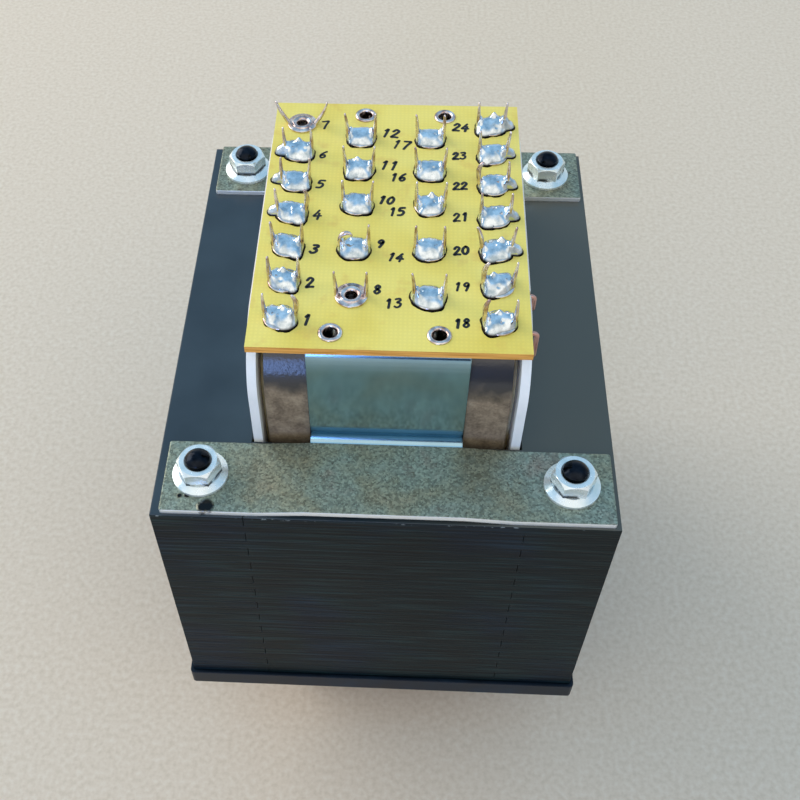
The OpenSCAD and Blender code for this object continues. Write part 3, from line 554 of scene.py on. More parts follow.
# tinned brass keeps a pinkish tone, 60/40 solder is bright and slightly blue with duller patches,
# the nuts are blue-passivated, the bolts blackened and oiled
brassLook = {
    "tones": [(0.32, "#a98b84"), (0.66, "#f3ebe6")], "patchMm": 1.7, "rough": (0.14, 0.28), "metal": 1.0,
    "rippleMm": 0.68, "ripple": 0.08, "rippleDepthMm": 0.1,
}
solderLook = {
    "tones": [(0.32, "#9fb0bb"), (0.62, "#e3ebf0")], "patchMm": 1.8, "rough": (0.16, 0.05), "metal": 1.0,
    "rippleMm": 0.8, "ripple": 0.1, "rippleDepthMm": 0.1,
    "foot": "#16130f", "footMm": (0.25, 0.65),  # painted contact shadow and painted dark reflection round the foot of each joint, over these heights
}
nutLook = {
    "tones": [(0.32, "#d9e6e4"), (0.66, "#f6fbf9")], "patchMm": 2.4, "rough": (0.14, 0.34), "metal": 0.58,
    "rippleMm": 0.96, "ripple": 0.08, "rippleDepthMm": 0.1,
    # how dark, by share of the nut's height: a painted contact shadow under the flange, and dirt with painted
    # shade where the hexagon stands on it
    "shadedAndSoiled": [(0.0, 0.9), (0.03, 0.0), (0.28, 0.0), (0.3, 1.0), (0.42, 0.9), (0.52, 0.0)],
    "darkTone": "#12181b", "blotchMm": 2.6, "blotchFrom": (0.38, 0.5),
    "steepBelow": 0.4,  # painted shade and dirt stay where the upright part of the normal is below this
}
boltLook = {
    "tones": [(0.32, "#0b0d12"), (0.66, "#232830")], "patchMm": 2.0, "rough": (0.12, 0.26), "metal": 1.0,
    "rippleMm": 0.8, "ripple": 0.2, "rippleDepthMm": 0.1,
}


def patchyMetal(name, look):
    # plated or molten metal: tone and gloss drift in patches, with a faint ripple
    finish, tree, shader, coords = newFinish(name, {"Metallic": look["metal"]})
    patch = addNode(tree, "ShaderNodeTexNoise", {"Scale": perMetre(look["patchMm"]), "Detail": 4.0},
                    {"Vector": coords})
    colour = addNode(tree, "ShaderNodeValToRGB", {"stops": look["tones"]}, {"Fac": patch.outputs["Fac"]})
    gloss = addNode(tree, "ShaderNodeMapRange", {
        "From Min": noiseSpan[0], "From Max": noiseSpan[1],
        "To Min": look["rough"][0], "To Max": look["rough"][1]}, {"Value": patch.outputs["Fac"]})
    wave = addNode(tree, "ShaderNodeTexNoise", {"Scale": perMetre(look["rippleMm"]), "Detail": 2.0},
                   {"Vector": coords})
    bump = addNode(tree, "ShaderNodeBump", {
        "Strength": look["ripple"], "Distance": look["rippleDepthMm"] * mm}, {"Height": wave.outputs["Fac"]})
    join(tree, shader, {"Base Color": colour.outputs["Color"], "Roughness": gloss.outputs[0],
                        "Normal": bump.outputs[0]})
    return finish


def reopen(finish):
    # what a second layer of colour needs of a finish: its tree, shader, coordinates and first colour
    tree = finish.node_tree
    shader = next(n for n in tree.nodes if n.type == "BSDF_PRINCIPLED")
    coords = addNode(tree, "ShaderNodeTexCoord").outputs["Object"]
    return tree, shader, coords, shader.inputs["Base Color"].links[0].from_socket


def burnFoot(finish, look):
    # painted contact shadow and painted dark reflection round the foot of each joint
    tree, shader, coords, clean = reopen(finish)
    height = addNode(tree, "ShaderNodeSeparateXYZ", {}, {0: coords}).outputs["Z"]
    clear = addNode(tree, "ShaderNodeMapRange", {
        "From Min": boardTop + look["footMm"][0] * mm, "From Max": boardTop + look["footMm"][1] * mm},
        {"Value": height})
    colour = addNode(tree, "ShaderNodeMix", {"data_type": "RGBA", 6: linear(look["foot"])},
                     {0: clear.outputs[0], 7: clean})
    join(tree, shader, {"Base Color": colour.outputs[2]})


def soilNuts(finish, look):
    # a painted contact shadow under the flange, and oil, dirt and painted shade at the foot of the flats,
    # broken up in patches
    tree, shader, coords, clean = reopen(finish)
    height = addNode(tree, "ShaderNodeSeparateXYZ", {}, {0: coords}).outputs["Z"]
    low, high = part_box("flange_nuts")
    share = addNode(tree, "ShaderNodeMapRange", {"From Min": low.z, "From Max": high.z}, {"Value": height})
    shadedAndSoiled = addNode(tree, "ShaderNodeValToRGB", {"stops": look["shadedAndSoiled"]}, {"Fac": share.outputs[0]})
    normal = addNode(tree, "ShaderNodeNewGeometry").outputs["Normal"]
    upward = addNode(tree, "ShaderNodeSeparateXYZ", {}, {0: normal}).outputs["Z"]
    steep = addNode(tree, "ShaderNodeMath", {"operation": "LESS_THAN", 1: look["steepBelow"]}, {0: upward})
    drift = addNode(tree, "ShaderNodeTexNoise", {"Scale": perMetre(look["blotchMm"])}, {"Vector": coords})
    patchy = addNode(tree, "ShaderNodeMapRange", {
        "From Min": look["blotchFrom"][0], "From Max": look["blotchFrom"][1]}, {"Value": drift.outputs["Fac"]})
    shadedAndCaught = addNode(tree, "ShaderNodeMath", {"operation": "MULTIPLY"},
                     {0: shadedAndSoiled.outputs["Color"], 1: steep.outputs[0]})
    darkened = addNode(tree, "ShaderNodeMath", {"operation": "MULTIPLY"},
                    {0: shadedAndCaught.outputs[0], 1: patchy.outputs[0]})
    # the dark colour here is painted shade and dirt
    colour = addNode(tree, "ShaderNodeMix", {"data_type": "RGBA", 7: linear(look["darkTone"])},
                     {0: darkened.outputs[0], 6: clean})
    join(tree, shader, {"Base Color": colour.outputs[2]})


inkLook = {"fadeMm": 1.1, "tones": [(0.5, "#0d0c10"), (0.78, "#2f2a22")], "rough": 0.45}


def markerInk(look):
    # felt marker on laminate: dense black strokes that thin out in patches
    finish, tree, shader, coords = newFinish("black marker ink", {"Roughness": look["rough"]})
    fade = addNode(tree, "ShaderNodeTexNoise", {"Scale": perMetre(look["fadeMm"]), "Detail": 3.0},
                   {"Vector": coords})
    colour = addNode(tree, "ShaderNodeValToRGB", {"stops": look["tones"]}, {"Fac": fade.outputs["Fac"]})
    join(tree, shader, {"Base Color": colour.outputs["Color"]})
    return finish


steel = varnishedSteel(laminationLook)
enamel = bakedEnamel(enamelLook)
nylon = mouldedNylon(nylonLook)
kraft = kraftPaper(wrapLook)
pressboard = fishPaper(pressboardLook)
windingCopper = enamelledCopper("enamelled winding wire", windingLook, wireLook)
leadCopper = enamelledCopper("enamelled lead wire", leadLook, wireLook)
tinplate = tinnedSheet(tinplateLook)
zincStrip = chromatedZinc(zincLook)
laminate = glassLaminate(laminateLook)
tinnedBrass = patchyMetal("tinned brass", brassLook)
tinLead = patchyMetal("tin-lead solder", solderLook)
# the joints' feet get a painted contact shadow and dark reflection
burnFoot(tinLead, solderLook)
brightZinc = patchyMetal("blue passivated zinc", nutLook)
soilNuts(brightZinc, nutLook)
blackOxide = patchyMetal("black oxide steel", boltLook)
ink = markerInk(inkLook)

finishOf = {
    "e_laminations": steel, "i_laminations": steel,
    "bobbin": nylon,
    "primary_winding": windingCopper, "ht_winding": windingCopper, "heater_winding": windingCopper,
    "primary_insulation": pressboard, "ht_insulation": pressboard,
    "outer_wrap": kraft,
    "front_bracket": tinplate, "rear_bracket": tinplate,
    "front_strip": zincStrip, "rear_strip": zincStrip,
    "terminal_board": laminate,
    "board_eyelets": tinnedBrass,
    "primary_lugs": tinnedBrass, "ht_lugs": tinnedBrass, "heater_lugs": tinnedBrass,
    "primary_leads": leadCopper, "ht_leads": leadCopper, "heater_leads": leadCopper,
    "primary_solder": tinLead, "ht_solder": tinLead, "heater_solder": tinLead,
    "through_bolts": blackOxide, "flange_nuts": brightZinc,
    "end_bell": enamel,
}
for nodeName, part in nodes.items():
    part.data.materials.clear()
    part.data.materials.append(finishOf[nodeName])
print("finishes given to", len(finishOf), "nodes")


# tools for the pieces

def addPiece(name, bm, finish, smooth=True):
    mesh = bpy.data.meshes.new(name)
    bmesh.ops.recalc_face_normals(bm, faces=bm.faces)
    bm.to_mesh(mesh)
    bm.free()
    for face in mesh.polygons:
        face.use_smooth = smooth
    mesh.materials.append(finish)
    piece = bpy.data.objects.new(name, mesh)
    scene.collection.objects.link(piece)
    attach(piece, "root")
    return piece


def revolve(bm, place, profile, segments):
    # turns a closed profile of (radius, height) in mm round a vertical axis; heights start at the board's top
    rings = []
    for radius, height in profile:
        ring = []
        for j in range(segments):
            angle = 2 * math.pi * j / segments
            ring.append(bm.verts.new((
                place[0] + radius * mm * math.cos(angle),
                place[1] + radius * mm * math.sin(angle),
                boardTop + height * mm)))
        rings.append(ring)
    for k, ring in enumerate(rings):
        after = rings[(k + 1) % len(rings)]
        for j in range(segments):
            i = (j + 1) % segments
            bm.faces.new((ring[j], ring[i], after[i], after[j]))


# double-horn lugs, drawn bent by hand as in use
lugFacts = {
    "ringR": 3.3, "sheet": 0.45, "shankR": 1.6, "boreR": 1.15, "flareR": 2.3,  # mm
    "rollR": 2.3, "rollH": 0.8,
    "hornLength": 6.7, "hornRootW": 1.7, "hornTipW": 0.55, "hornT": 0.95, "hornTipT": 0.42, "hornRootH": 0.1,
    "corner": 0.28,  # share of a horn's half width that stays flat between its rounded corners
    "taperPower": 1.6, "curlPower": 2.5,  # higher keeps the taper and the curl nearer the tip
    "tipFrom": 0.97, "tipShrink": 0.6,  # the last stretch, where a horn is rounded off
    "leanDeg": (1.0, 6.0), "twistDeg": 40.0, "curlDeg": 8.0,
    "steps": 14, "segments": 40,
    "seed": 7,
    # bent horns, by column and row from the front: (side, lean, curl, twist) in degrees
    "bent": {("left", 6): [(-1, 30, -20, 70), (1, 34, -30, 10)],
             ("midLeft", 1): [(-1, 8, -210, 20)],
             ("midLeft", 0): [(-1, 5, -4, 8), (1, 3, -4, -8)],
             ("left", 0): [(1, 12, -60, 80)],
             ("left", 3): [(1, 10, -40, 85)],
             ("right", 1): [(-1, 6, -50, 80)],
             ("right", 0): [(-1, 6, -40, 80)],
             ("right", 2): [(-1, 8, 20, 85)],
             ("right", 4): [(-1, 14, -70, 80)]},
}


def addHorn(bm, place, side, facts, lean, curl, twist):
    # a tapered strip of sheet folded up from the ring; lean and curl are in degrees, outwards is positive
    shares = [k / facts["steps"] for k in range(facts["steps"])] + [facts["tipFrom"], 1.0]
    cut = facts["corner"]
    section = ((1, cut), (cut, 1), (-cut, 1), (-1, cut), (-1, -cut), (-cut, -1), (cut, -1), (1, -cut))
    x = facts["ringR"] - facts["hornT"] / 2
    z = facts["hornRootH"]
    loops = []
    for t, after in zip(shares, shares[1:] + [1.0]):
        slope = math.radians(lean + curl * t ** facts["curlPower"])
        taper = t ** facts["taperPower"]
        width = facts["hornRootW"] + (facts["hornTipW"] - facts["hornRootW"]) * taper
        thick = facts["hornT"] + (facts["hornTipT"] - facts["hornT"]) * taper
        turn = math.radians(twist * t)
        across = Vector((math.cos(slope) * side, 0, -math.sin(slope)))
        flat = Vector((0, 1, 0))
        wide = flat * math.cos(turn) + across * math.sin(turn)
        thin = across * math.cos(turn) - flat * math.sin(turn)
        shrink = facts["tipShrink"] if t == 1.0 else 1.0
        loop = []
        for u, v in section:
            offset = (wide * (u * width / 2) + thin * (v * thick / 2)) * shrink
            loop.append(bm.verts.new((
                place[0] + (x * side + offset.x) * mm,
                place[1] + offset.y * mm,
                boardTop + (z + offset.z) * mm)))
        loops.append(loop)
        x += math.sin(slope) * (after - t) * facts["hornLength"]
        z += math.cos(slope) * (after - t) * facts["hornLength"]
    for before, after in zip(loops, loops[1:]):
        for j in range(len(section)):
            i = (j + 1) % len(section)
            bm.faces.new((before[j], before[i], after[i], after[j]))
    bm.faces.new(list(reversed(loops[0])))
    bm.faces.new(loops[-1])


def lugProfile(facts):
    # small offsets round the corners
    under = -(boardTop - boardUnder) / mm
    sheet, bore, flare, shank = facts["sheet"], facts["boreR"], facts["flareR"], facts["shankR"]
    ring, roll, high = facts["ringR"], facts["rollR"], facts["rollH"]
    return [
        (bore, under - sheet), (flare - 0.3, under - sheet), (flare, under - 0.1),  # flare below the board
        (flare - 0.1, under), (shank, under), (shank, 0.0),
        (ring - 0.12, 0.0), (ring, 0.12), (ring, sheet - 0.1), (ring - 0.12, sheet),  # ring on the board
        (roll + 0.06, sheet), (roll, sheet + 0.1), (roll - 0.14, high - 0.08),  # rolled rim
        (roll - 0.4, high), (roll - 0.72, high - 0.06), (bore + 0.1, high - 0.3), (bore, high - 0.6)]


def columnOf(nodeName, place):
    if nodeName == "primary_lugs":
        return "left"
    if nodeName == "heater_lugs":
        return "right"
    return "midLeft" if place[0] < 0 else "midRight"


def addLugs(facts):
    chance = random.Random(facts["seed"])
    found = {}
    for nodeName in ("primary_lugs", "ht_lugs", "heater_lugs"):
        bm = bmesh.new()
        rows = {}
        for place in islandPlaces(nodeName):
            column = columnOf(nodeName, place)
            row = rows.get(column, 0)
            rows[column] = row + 1
            found[(column, row)] = place
            revolve(bm, place, lugProfile(facts), facts["segments"])
            bent = {b[0]: b[1:] for b in facts["bent"].get((column, row), [])}
            for side in (-1, 1):
                lean = chance.uniform(*facts["leanDeg"])
                curl = chance.uniform(-1, 1) * facts["curlDeg"]
                twist = chance.uniform(-1, 1) * facts["twistDeg"]
                lean, curl, twist = bent.get(side, (lean, curl, twist))
                addHorn(bm, place, side, facts, lean, curl, twist)
        piece = addPiece(nodeName.replace("_", "-") + "-bent", bm, tinnedBrass)
        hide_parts(nodeName)
    return found


lugPlaces = addLugs(lugFacts)
print("lugs bent:", len(lugPlaces))


# eyelets that rivet the board to its brackets
eyeletFacts = {
    "flangeR": 2.45, "lowerR": 2.15, "boreR": 1.4, "shankR": 1.75, "roll": 0.42, "bracketT": 0.8,  # mm
    "segments": 36,
}


def addEyelets(facts):
    low = -(boardTop - boardUnder) / mm - facts["bracketT"]
    roll, flange, bore = facts["roll"], facts["flangeR"], facts["boreR"]
    lower, shank = facts["lowerR"], facts["shankR"]
    profile = [
        (bore, low), (bore + 0.1, low - 0.3), (lower - 0.35, low - roll),  # lower roll
        (lower - 0.08, low - 0.2), (lower, low), (shank, low), (shank, 0.0),
        (flange, 0.0), (flange - 0.08, 0.2), (flange - 0.42, roll), (bore + 0.3, roll - 0.06),  # upper roll
        (bore + 0.06, 0.16), (bore, -0.1)]
    bm = bmesh.new()
    for place in islandPlaces("board_eyelets"):
        revolve(bm, place, profile, facts["segments"])
    piece = addPiece("board-eyelets-rolled", bm, tinnedBrass)
    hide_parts("board_eyelets")


addEyelets(eyeletFacts)
print("eyelets rolled")


# solder that has run round the feet of the horns; sizes in mm, and the pairs named Vary are shares
solderFacts = {
    "front": 3.75, "side": 3.45, "rear": 2.7, "height": 2.25,
    "backset": 0.45,  # the dome stands behind the lug's axis
    "heightVary": (0.88, 1.12), "spreadVary": (0.96, 1.03), "tilt": 0.12,
    "skew": 0.24, "skewVary": (0.7, 1.3),  # joints of the outer columns sag to the front on their inner side
    "blunt": 4.0,  # higher is squarer towards the horns
    "plump": 0.9,  # lower is fuller at the rim
    "climb": 2.5, "climbVary": (0.85, 1.12), "climbX": 2.85, "climbW": 0.85, "hornHalf": (0.35, 0.6),
    "lump": 0.17, "lumpMm": 2.4, "fineLump": 0.4, "finer": 2.6,
    "edgeWander": 0.25, "edgeTurns": 1.6, "skirt": 0.2, "skirtTurns": 4,
    # rows from the front where a second bead hangs outside the outer horn
    "beads": {"left": (3, 4, 5), "right": (2, 3, 4, 5, 6)}, "beadX": 3.9, "beadY": (-0.6, 0.4),
    "beadR": 1.4, "beadRVary": (0.88, 1.08), "beadH": 1.7, "beadHVary": (0.85, 1.15), "beadPlump": 0.65,
    # wire ends that stand up under the solder
    "tipShare": 0.4, "tipH": (2.5, 3.0), "tipW": 1.05, "tipX": (-1.1, 1.1), "tipY": (0.2, 0.8),
    "pits": 1, "pitR": 0.3, "pitDepth": 0.3, "pitX": (-2.0, 2.0), "pitY": (-2.2, 0.6),
    "leastH": 0.08, "skirtH": 0.02,
    "rings": 22, "segments": 64, "newtonSteps": 8,
    "shift": (0, 90),  # where in the noise a joint takes its lumps
    "seed": 21,
}


def addSolderJoint(bm, place, facts, chance, outward, beaded):
    # a wetted pillow from horn to horn; outward is -1 or 1 in the outer columns and 0 in the inner ones
    shift = Vector([chance.uniform(*facts["shift"]) for _ in range(3)])
    height = facts["height"] * chance.uniform(*facts["heightVary"])
    spread = chance.uniform(*facts["spreadVary"])
    tilt = chance.uniform(-facts["tilt"], facts["tilt"])
    skew = outward * facts["skew"] * chance.uniform(*facts["skewVary"])
    climbs = {side: facts["climb"] * chance.uniform(*facts["climbVary"]) for side in (-1, 1)}
    pits = [(chance.uniform(*facts["pitX"]), chance.uniform(*facts["pitY"])) for _ in range(facts["pits"])]
    bead = Vector((outward * facts["beadX"], chance.uniform(*facts["beadY"])))
    beadR = facts["beadR"] * chance.uniform(*facts["beadRVary"])
    beadH = facts["beadH"] * chance.uniform(*facts["beadHVary"])
    tipAt = (chance.uniform(*facts["tipX"]), chance.uniform(*facts["tipY"]))
    tipH = chance.uniform(*facts["tipH"]) if chance.random() < facts["tipShare"] else 0.0
    blunt = facts["blunt"]
    count = facts["segments"]
    angles = [2 * math.pi * j / count for j in range(count)]

    def hill(x, y, at, width):
        # a round hill of height 1
        return math.exp(-((x - at[0]) ** 2 + (y - at[1]) ** 2) / width ** 2)

    def depthAt(v):
        return facts["rear"] if v > 0 else facts["front"]

    def footAt(angle):
        # reach of the plain pillow, found by Newton steps: blunt to the horns, round to the front and rear
        forward = math.sin(angle) - skew * math.cos(angle)
        along = abs(math.cos(angle) / facts["side"]) ** blunt
        across = (forward / depthAt(forward)) ** 2
        reach = 1 / math.sqrt(across + along ** (2 / blunt))
        for _ in range(facts["newtonSteps"]):
            over = along * reach ** blunt + across * reach ** 2 - 1
            reach -= over / (blunt * along * reach ** (blunt - 1) + 2 * across * reach)
        return spread * reach

    def edgeAt(angle):
        # the foot with its edge wandering
        towards = Vector((math.cos(angle), math.sin(angle), 0))
        return footAt(angle) + 2 * facts["edgeWander"] * noise.noise(towards * facts["edgeTurns"] + shift)

    def reachAt(angle):
        # the edge, pushed out where a bead hangs
        towards = Vector((math.cos(angle), math.sin(angle)))
        reach = edgeAt(angle)
        ahead = towards.dot(bead)
        aside = bead.length_squared - ahead ** 2
        if beaded and ahead > 0 and aside < beadR ** 2:
            reach = max(reach, ahead + math.sqrt(beadR ** 2 - aside))
        return reach

    def heightAt(x, y, angle, share):
        foot = min(1.0, math.hypot(x, y) / edgeAt(angle)) * footAt(angle)
        u = foot * math.cos(angle) / spread
        v = foot * (math.sin(angle) - skew * math.cos(angle)) / spread
        filled = max(0.0, 1 - abs(u / facts["side"]) ** blunt - (v / depthAt(v)) ** 2)
        body = height * (1 + tilt * u / facts["side"]) * filled ** facts["plump"]
        offX = max(0.0, abs(abs(x) - facts["climbX"]) - facts["hornHalf"][0])
        offY = max(0.0, abs(y + facts["backset"]) - facts["hornHalf"][1])
        climb = climbs[1 if x > 0 else -1] * hill(offX, offY, (0, 0), facts["climbW"])
        tip = tipH * hill(x, y, tipAt, facts["tipW"])
        drop = 0.0
        if beaded:
            far = ((x - bead.x) ** 2 + (y - bead.y) ** 2) / beadR ** 2
            drop = beadH * max(0.0, 1 - far) ** facts["beadPlump"]
        spot = Vector((x, y, 0)) / facts["lumpMm"]
        fineLump = facts["fineLump"] * noise.noise(spot * facts["finer"] + shift)
        lump = facts["lump"] * (noise.noise(spot + shift) + fineLump)
        pit = sum(facts["pitDepth"] * hill(x, y, at, facts["pitR"]) for at in pits)
        # cubes blend the forms softly, and powers of the share fade what stops at the edge
        wetted = (body ** 3 + drop ** 3 + tip ** 3 + (climb * (1 - share ** 8)) ** 3) ** (1 / 3)
        return max(0.0, wetted + (lump - pit) * (1 - share ** 3))

    def corner(x, y, z):
        return bm.verts.new((place[0] + x * mm, place[1] + (y + facts["backset"]) * mm, boardTop + z * mm))

    top = corner(0, 0, heightAt(0, 0, 0, 0))
    rings = []
    for k in range(1, facts["rings"] + 1):
        share = k / facts["rings"]
        ring = []
        for angle in angles:
            reach = reachAt(angle) * share
            x, y = reach * math.cos(angle), reach * math.sin(angle)
            ring.append(corner(x, y, max(facts["leastH"], heightAt(x, y, angle, share))))
        rings.append(ring)
    # a thin skirt round the foot, dark with the painted foot shade
    skirt = []
    for angle in angles:
        towards = Vector((math.cos(angle), math.sin(angle), 0))
        wander = 1 + noise.noise(towards * facts["skirtTurns"] + shift)
        reach = reachAt(angle) + facts["skirt"] * wander
        skirt.append(corner(reach * math.cos(angle), reach * math.sin(angle), facts["skirtH"]))
    rings.append(skirt)
    for j in range(count):
        bm.faces.new((top, rings[0][j], rings[0][(j + 1) % count]))
    for inner, outer in zip(rings, rings[1:]):
        for j in range(count):
            i = (j + 1) % count
            bm.faces.new((inner[j], outer[j], outer[i], inner[i]))
    bm.faces.new(list(reversed(rings[-1])))


def addSolder(facts):
    chance = random.Random(facts["seed"])
    sides = {"primary_solder": ("left", -1), "ht_solder": ("inner", 0), "heater_solder": ("right", 1)}
    for nodeName, (column, outward) in sides.items():
        bm = bmesh.new()
        for row, place in enumerate(islandPlaces(nodeName)):
            addSolderJoint(bm, place, facts, chance, outward, row in facts["beads"].get(column, ()))
        piece = addPiece(nodeName.replace("_", "-") + "-flowed", bm, tinLead)
        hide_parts(nodeName)


addSolder(solderFacts)
print("solder flowed")


# plain lug numbers in marker; strokes of each digit in a box one unit high
digitStrokes = {
    "0": [[(0.3, 0.95), (0.08, 0.7), (0.06, 0.3), (0.28, 0.02), (0.5, 0.25), (0.52, 0.7), (0.32, 0.96)]],
    "1": [[(0.15, 0.78), (0.32, 0.98), (0.3, 0.5), (0.27, 0.0)]],
    "2": [[(0.06, 0.75), (0.25, 0.98), (0.48, 0.8), (0.36, 0.5), (0.05, 0.05), (0.3, 0.06), (0.56, 0.03)]],
    "3": [[(0.08, 0.92), (0.4, 0.95), (0.46, 0.75), (0.22, 0.55),
           (0.5, 0.4), (0.46, 0.12), (0.22, 0.0), (0.04, 0.12)]],
    "4": [[(0.36, 0.98), (0.2, 0.65), (0.03, 0.36), (0.3, 0.36), (0.58, 0.37)],
          [(0.42, 0.62), (0.4, 0.3), (0.38, 0.0)]],
    "5": [[(0.52, 0.96), (0.3, 0.96), (0.14, 0.92), (0.1, 0.58),
           (0.36, 0.6), (0.52, 0.36), (0.36, 0.06), (0.06, 0.04)]],
    "6": [[(0.44, 0.96), (0.18, 0.66), (0.07, 0.3), (0.26, 0.02), (0.5, 0.2), (0.4, 0.46), (0.1, 0.34)]],
    "7": [[(0.04, 0.93), (0.3, 0.95), (0.54, 0.94), (0.38, 0.5), (0.25, 0.0)]],
    "8": [[(0.3, 0.52), (0.1, 0.74), (0.28, 0.97), (0.46, 0.76), (0.28, 0.52),
           (0.06, 0.24), (0.28, 0.01), (0.5, 0.24), (0.3, 0.52)]],
    "9": [[(0.46, 0.7), (0.28, 0.5), (0.08, 0.7), (0.24, 0.96), (0.46, 0.8), (0.44, 0.4), (0.34, 0.0)]],
}
numberFacts = {
    "high": 2.5, "stroke": 0.56, "proud": 0.03,  # mm
    "layer": 0.0005,  # each stroke lies this much above the last, so that crossings stay clean
    "advance": 0.74,  # from digit to digit, in digit heights
    "slantDeg": 10.0, "turnDeg": (-9, 9), "highVary": (0.88, 1.12), "strokeVary": (0.85, 1.15),
    # where a number starts, right and back of its lug, in mm
    "beside": {"left": (4.4, -1.6), "midLeft": (4.4, 0.8), "midRight": (-8.6, -3.0), "right": (-8.7, -1.4)},
    "order": ("left", "midLeft", "midRight", "right"),
    "curveSteps": 6, "capSteps": 6,
    "seed": 5,
}


def smoothStroke(points, steps):
    # Catmull-Rom curve through the points of a stroke
    path = []
    for i in range(len(points) - 1):
        a, b = Vector(points[max(i - 1, 0)]), Vector(points[i])
        c, d = Vector(points[i + 1]), Vector(points[min(i + 2, len(points) - 1)])
        for k in range(steps):
            t = k / steps
            path.append(0.5 * (2 * b + (c - a) * t + (2 * a - 5 * b + 4 * c - d) * t ** 2
                               + (3 * b - a - 3 * c + d) * t ** 3))
    path.append(Vector(points[-1]))
    return path


def addStroke(bm, path, width, level, capSteps):
    # a flat ribbon with round ends
    last = len(path) - 1
    ahead = [(path[min(i + 1, last)] - path[max(i - 1, 0)]).normalized() for i in range(last + 1)]

    def corner(middle, towards, angle):
        # half a width from the middle of the stroke, turned left from the way it goes
        aside = Vector((-towards.y, towards.x))
        spot = middle + (towards * math.cos(angle) + aside * math.sin(angle)) * width / 2
        return bm.verts.new((spot.x, spot.y, level))

    left = [corner(p, a, math.pi / 2) for p, a in zip(path, ahead)]
    right = [corner(p, a, -math.pi / 2) for p, a in zip(path, ahead)]
    for i in range(last):
        bm.faces.new((left[i], right[i], right[i + 1], left[i + 1]))
    ends = ((path[-1], ahead[-1], left[-1], right[-1]), (path[0], -ahead[0], right[0], left[0]))
    for middle, towards, first, second in ends:
        cap = [corner(middle, towards, math.pi / 2 - math.pi * k / capSteps) for k in range(1, capSteps)]
        bm.faces.new([first, second] + list(reversed(cap)))


def addNumbers(facts):
    chance = random.Random(facts["seed"])
    bm = bmesh.new()
    lean = math.tan(math.radians(facts["slantDeg"]))
    number = 0
    layer = 0
    for column in facts["order"]:
        for key in sorted(k for k in lugPlaces if k[0] == column):
            number += 1
            start = Vector(lugPlaces[key]) + Vector(facts["beside"][column]) * mm
            turn = Matrix.Rotation(math.radians(chance.uniform(*facts["turnDeg"])), 2)
            high = facts["high"] * chance.uniform(*facts["highVary"])
            for spot, digit in enumerate(str(number)):
                for stroke in digitStrokes[digit]:
                    drawn = [Vector((u + spot * facts["advance"] + v * lean, v)) for u, v in stroke]
                    path = [start + (turn @ p) * high * mm for p in smoothStroke(drawn, facts["curveSteps"])]
                    layer += 1
                    level = boardTop + (facts["proud"] + facts["layer"] * layer) * mm
                    width = facts["stroke"] * mm * chance.uniform(*facts["strokeVary"])
                    addStroke(bm, path, width, level, facts["capSteps"])
    addPiece("lug-numbers", bm, ink, smooth=False)


addNumbers(numberFacts)
print("lug numbers drawn")


# floor, panels of the sky and lamps
floorFacts = {
    "radius": 4.0, "segments": 64,  # metres
    "speckMm": 1.5, "tones": [(0.3, "#d0c0aa"), (0.5, "#d9c9b4"), (0.72, "#dfd2bf")], "rough": 0.85,
}


def addFloor(facts):
    finish, tree, shader, coords = newFinish("pale floor", {"Roughness": facts["rough"]})
    speck = addNode(tree, "ShaderNodeTexNoise", {"Scale": perMetre(facts["speckMm"]), "Detail": 4.0},
                    {"Vector": coords})
    colour = addNode(tree, "ShaderNodeValToRGB", {"stops": facts["tones"]}, {"Fac": speck.outputs["Fac"]})
    join(tree, shader, {"Base Color": colour.outputs["Color"]})
    bm = bmesh.new()
    bmesh.ops.create_circle(bm, cap_ends=True, radius=facts["radius"], segments=facts["segments"])
    mesh = bpy.data.meshes.new("floor")
    bm.to_mesh(mesh)
    bm.free()
    mesh.materials.append(finish)
    floor = bpy.data.objects.new("floor", mesh)
    scene.collection.objects.link(floor)


addFloor(floorFacts)

skyFacts = {
    "rear": [(0.0, "#d3d9db"), (0.25, "#b5cde0"), (0.75, "#8fbbe0"), (1.0, "#a3c8e6")],  # by height
    "rearFrom": (-0.45, -0.1),  # front and rear meet over these depths
    "frontHigh": "#fffaf2", "frontGain": 1.05,
    # low in front from left to right: a pale blue panel, a dark gap, a grey panel
    "frontLow": [(0.0, "#c3cdd9"), (0.455, "#bccbe0"), (0.48, "#1d242c"), (0.6, "#16181c"), (0.7, "#bdbbb6")],
    "frontFrom": (0.4, 0.55),  # the bright panel of the front starts at this height
    "strength": 1.13, "leftGain": 1.1, "rightGain": 1.0, "gainReach": 0.9,
}
lampFacts = {
    "warmPanel": {"place": (-1.5, 0.75, 0.9), "size": (1.6, 1.3), "watts": 22.5, "colour": "#fff3e6"},
    "bluePanel": {"place": (-0.24, -1.3, 0.45), "size": (0.28, 0.6), "watts": 3.6, "colour": "#86aeff"},
}
lampAim = (0, 0, 0.1)


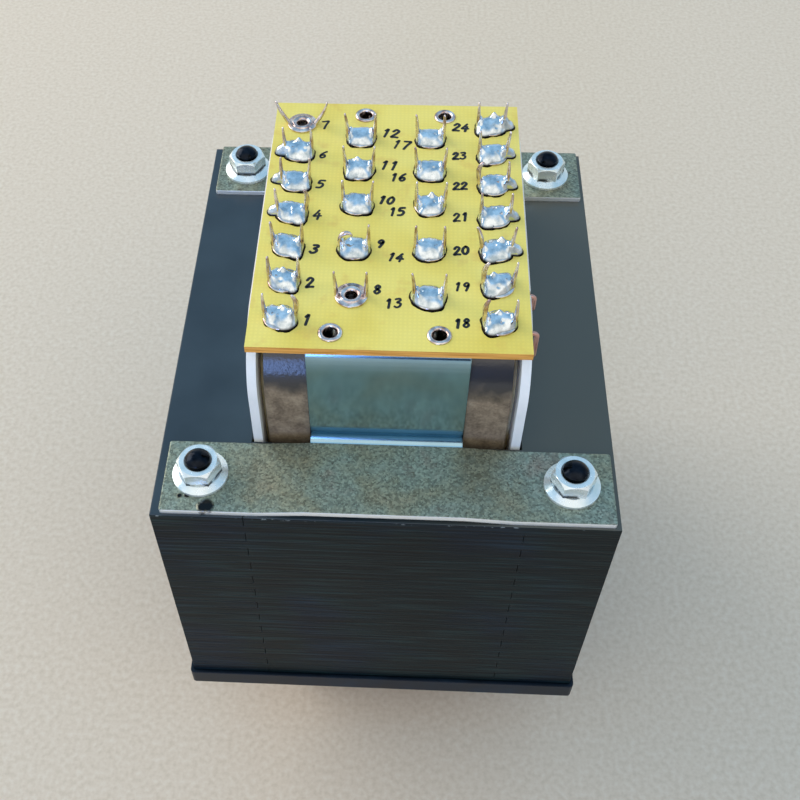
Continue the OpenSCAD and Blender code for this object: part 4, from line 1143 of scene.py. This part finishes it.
def addWorld(facts):
    # pale blue from the rear, a white panel high in front and darker ones low in front
    world = bpy.data.worlds.new("soft studio light")
    world.use_nodes = True
    tree = world.node_tree
    tree.nodes.clear()
    ray = addNode(tree, "ShaderNodeTexCoord").outputs["Generated"]
    axes = addNode(tree, "ShaderNodeSeparateXYZ", {}, {0: ray})
    rear = addNode(tree, "ShaderNodeValToRGB", {"stops": facts["rear"]}, {"Fac": axes.outputs["Z"]})
    sideways = addNode(tree, "ShaderNodeMapRange", {"From Min": -1.0, "From Max": 1.0},
                       {"Value": axes.outputs["X"]})
    low = addNode(tree, "ShaderNodeValToRGB", {"stops": facts["frontLow"]}, {"Fac": sideways.outputs[0]})
    upper = addNode(tree, "ShaderNodeMapRange", {
        "From Min": facts["frontFrom"][0], "From Max": facts["frontFrom"][1]}, {"Value": axes.outputs["Z"]})
    high = [facts["frontGain"] * part for part in linear(facts["frontHigh"])[:3]] + [1.0]
    front = addNode(tree, "ShaderNodeMix", {"data_type": "RGBA", 7: high},
                    {0: upper.outputs[0], 6: low.outputs["Color"]})
    depth = addNode(tree, "ShaderNodeMapRange", {
        "From Min": facts["rearFrom"][0], "From Max": facts["rearFrom"][1]}, {"Value": axes.outputs["Y"]})
    whole = addNode(tree, "ShaderNodeMix", {"data_type": "RGBA"},
                    {0: depth.outputs[0], 6: front.outputs[2], 7: rear.outputs["Color"]})
    gain = addNode(tree, "ShaderNodeMapRange", {
        "From Min": -facts["gainReach"], "From Max": facts["gainReach"],
        "To Min": facts["leftGain"] * facts["strength"],
        "To Max": facts["rightGain"] * facts["strength"]}, {"Value": axes.outputs["X"]})
    glow = addNode(tree, "ShaderNodeBackground", {}, {"Color": whole.outputs[2], "Strength": gain.outputs[0]})
    addNode(tree, "ShaderNodeOutputWorld", {}, {"Surface": glow.outputs[0]})
    scene.world = world


def addLamp(name, facts):
    data = bpy.data.lights.new(name, "AREA")
    data.shape = "RECTANGLE"
    data.size, data.size_y = facts["size"]
    data.energy = facts["watts"]
    data.color = linear(facts["colour"])[:3]
    lamp = bpy.data.objects.new(name, data)
    aim = Vector(lampAim) - Vector(facts["place"])
    lamp.matrix_world = Matrix.Translation(facts["place"]) @ aim.to_track_quat("-Z", "Y").to_matrix().to_4x4()
    scene.collection.objects.link(lamp)


addWorld(skyFacts)
for lampName, lampValues in lampFacts.items():
    addLamp(lampName, lampValues)
scene.view_settings.view_transform = "Standard"
print("floor and light set")
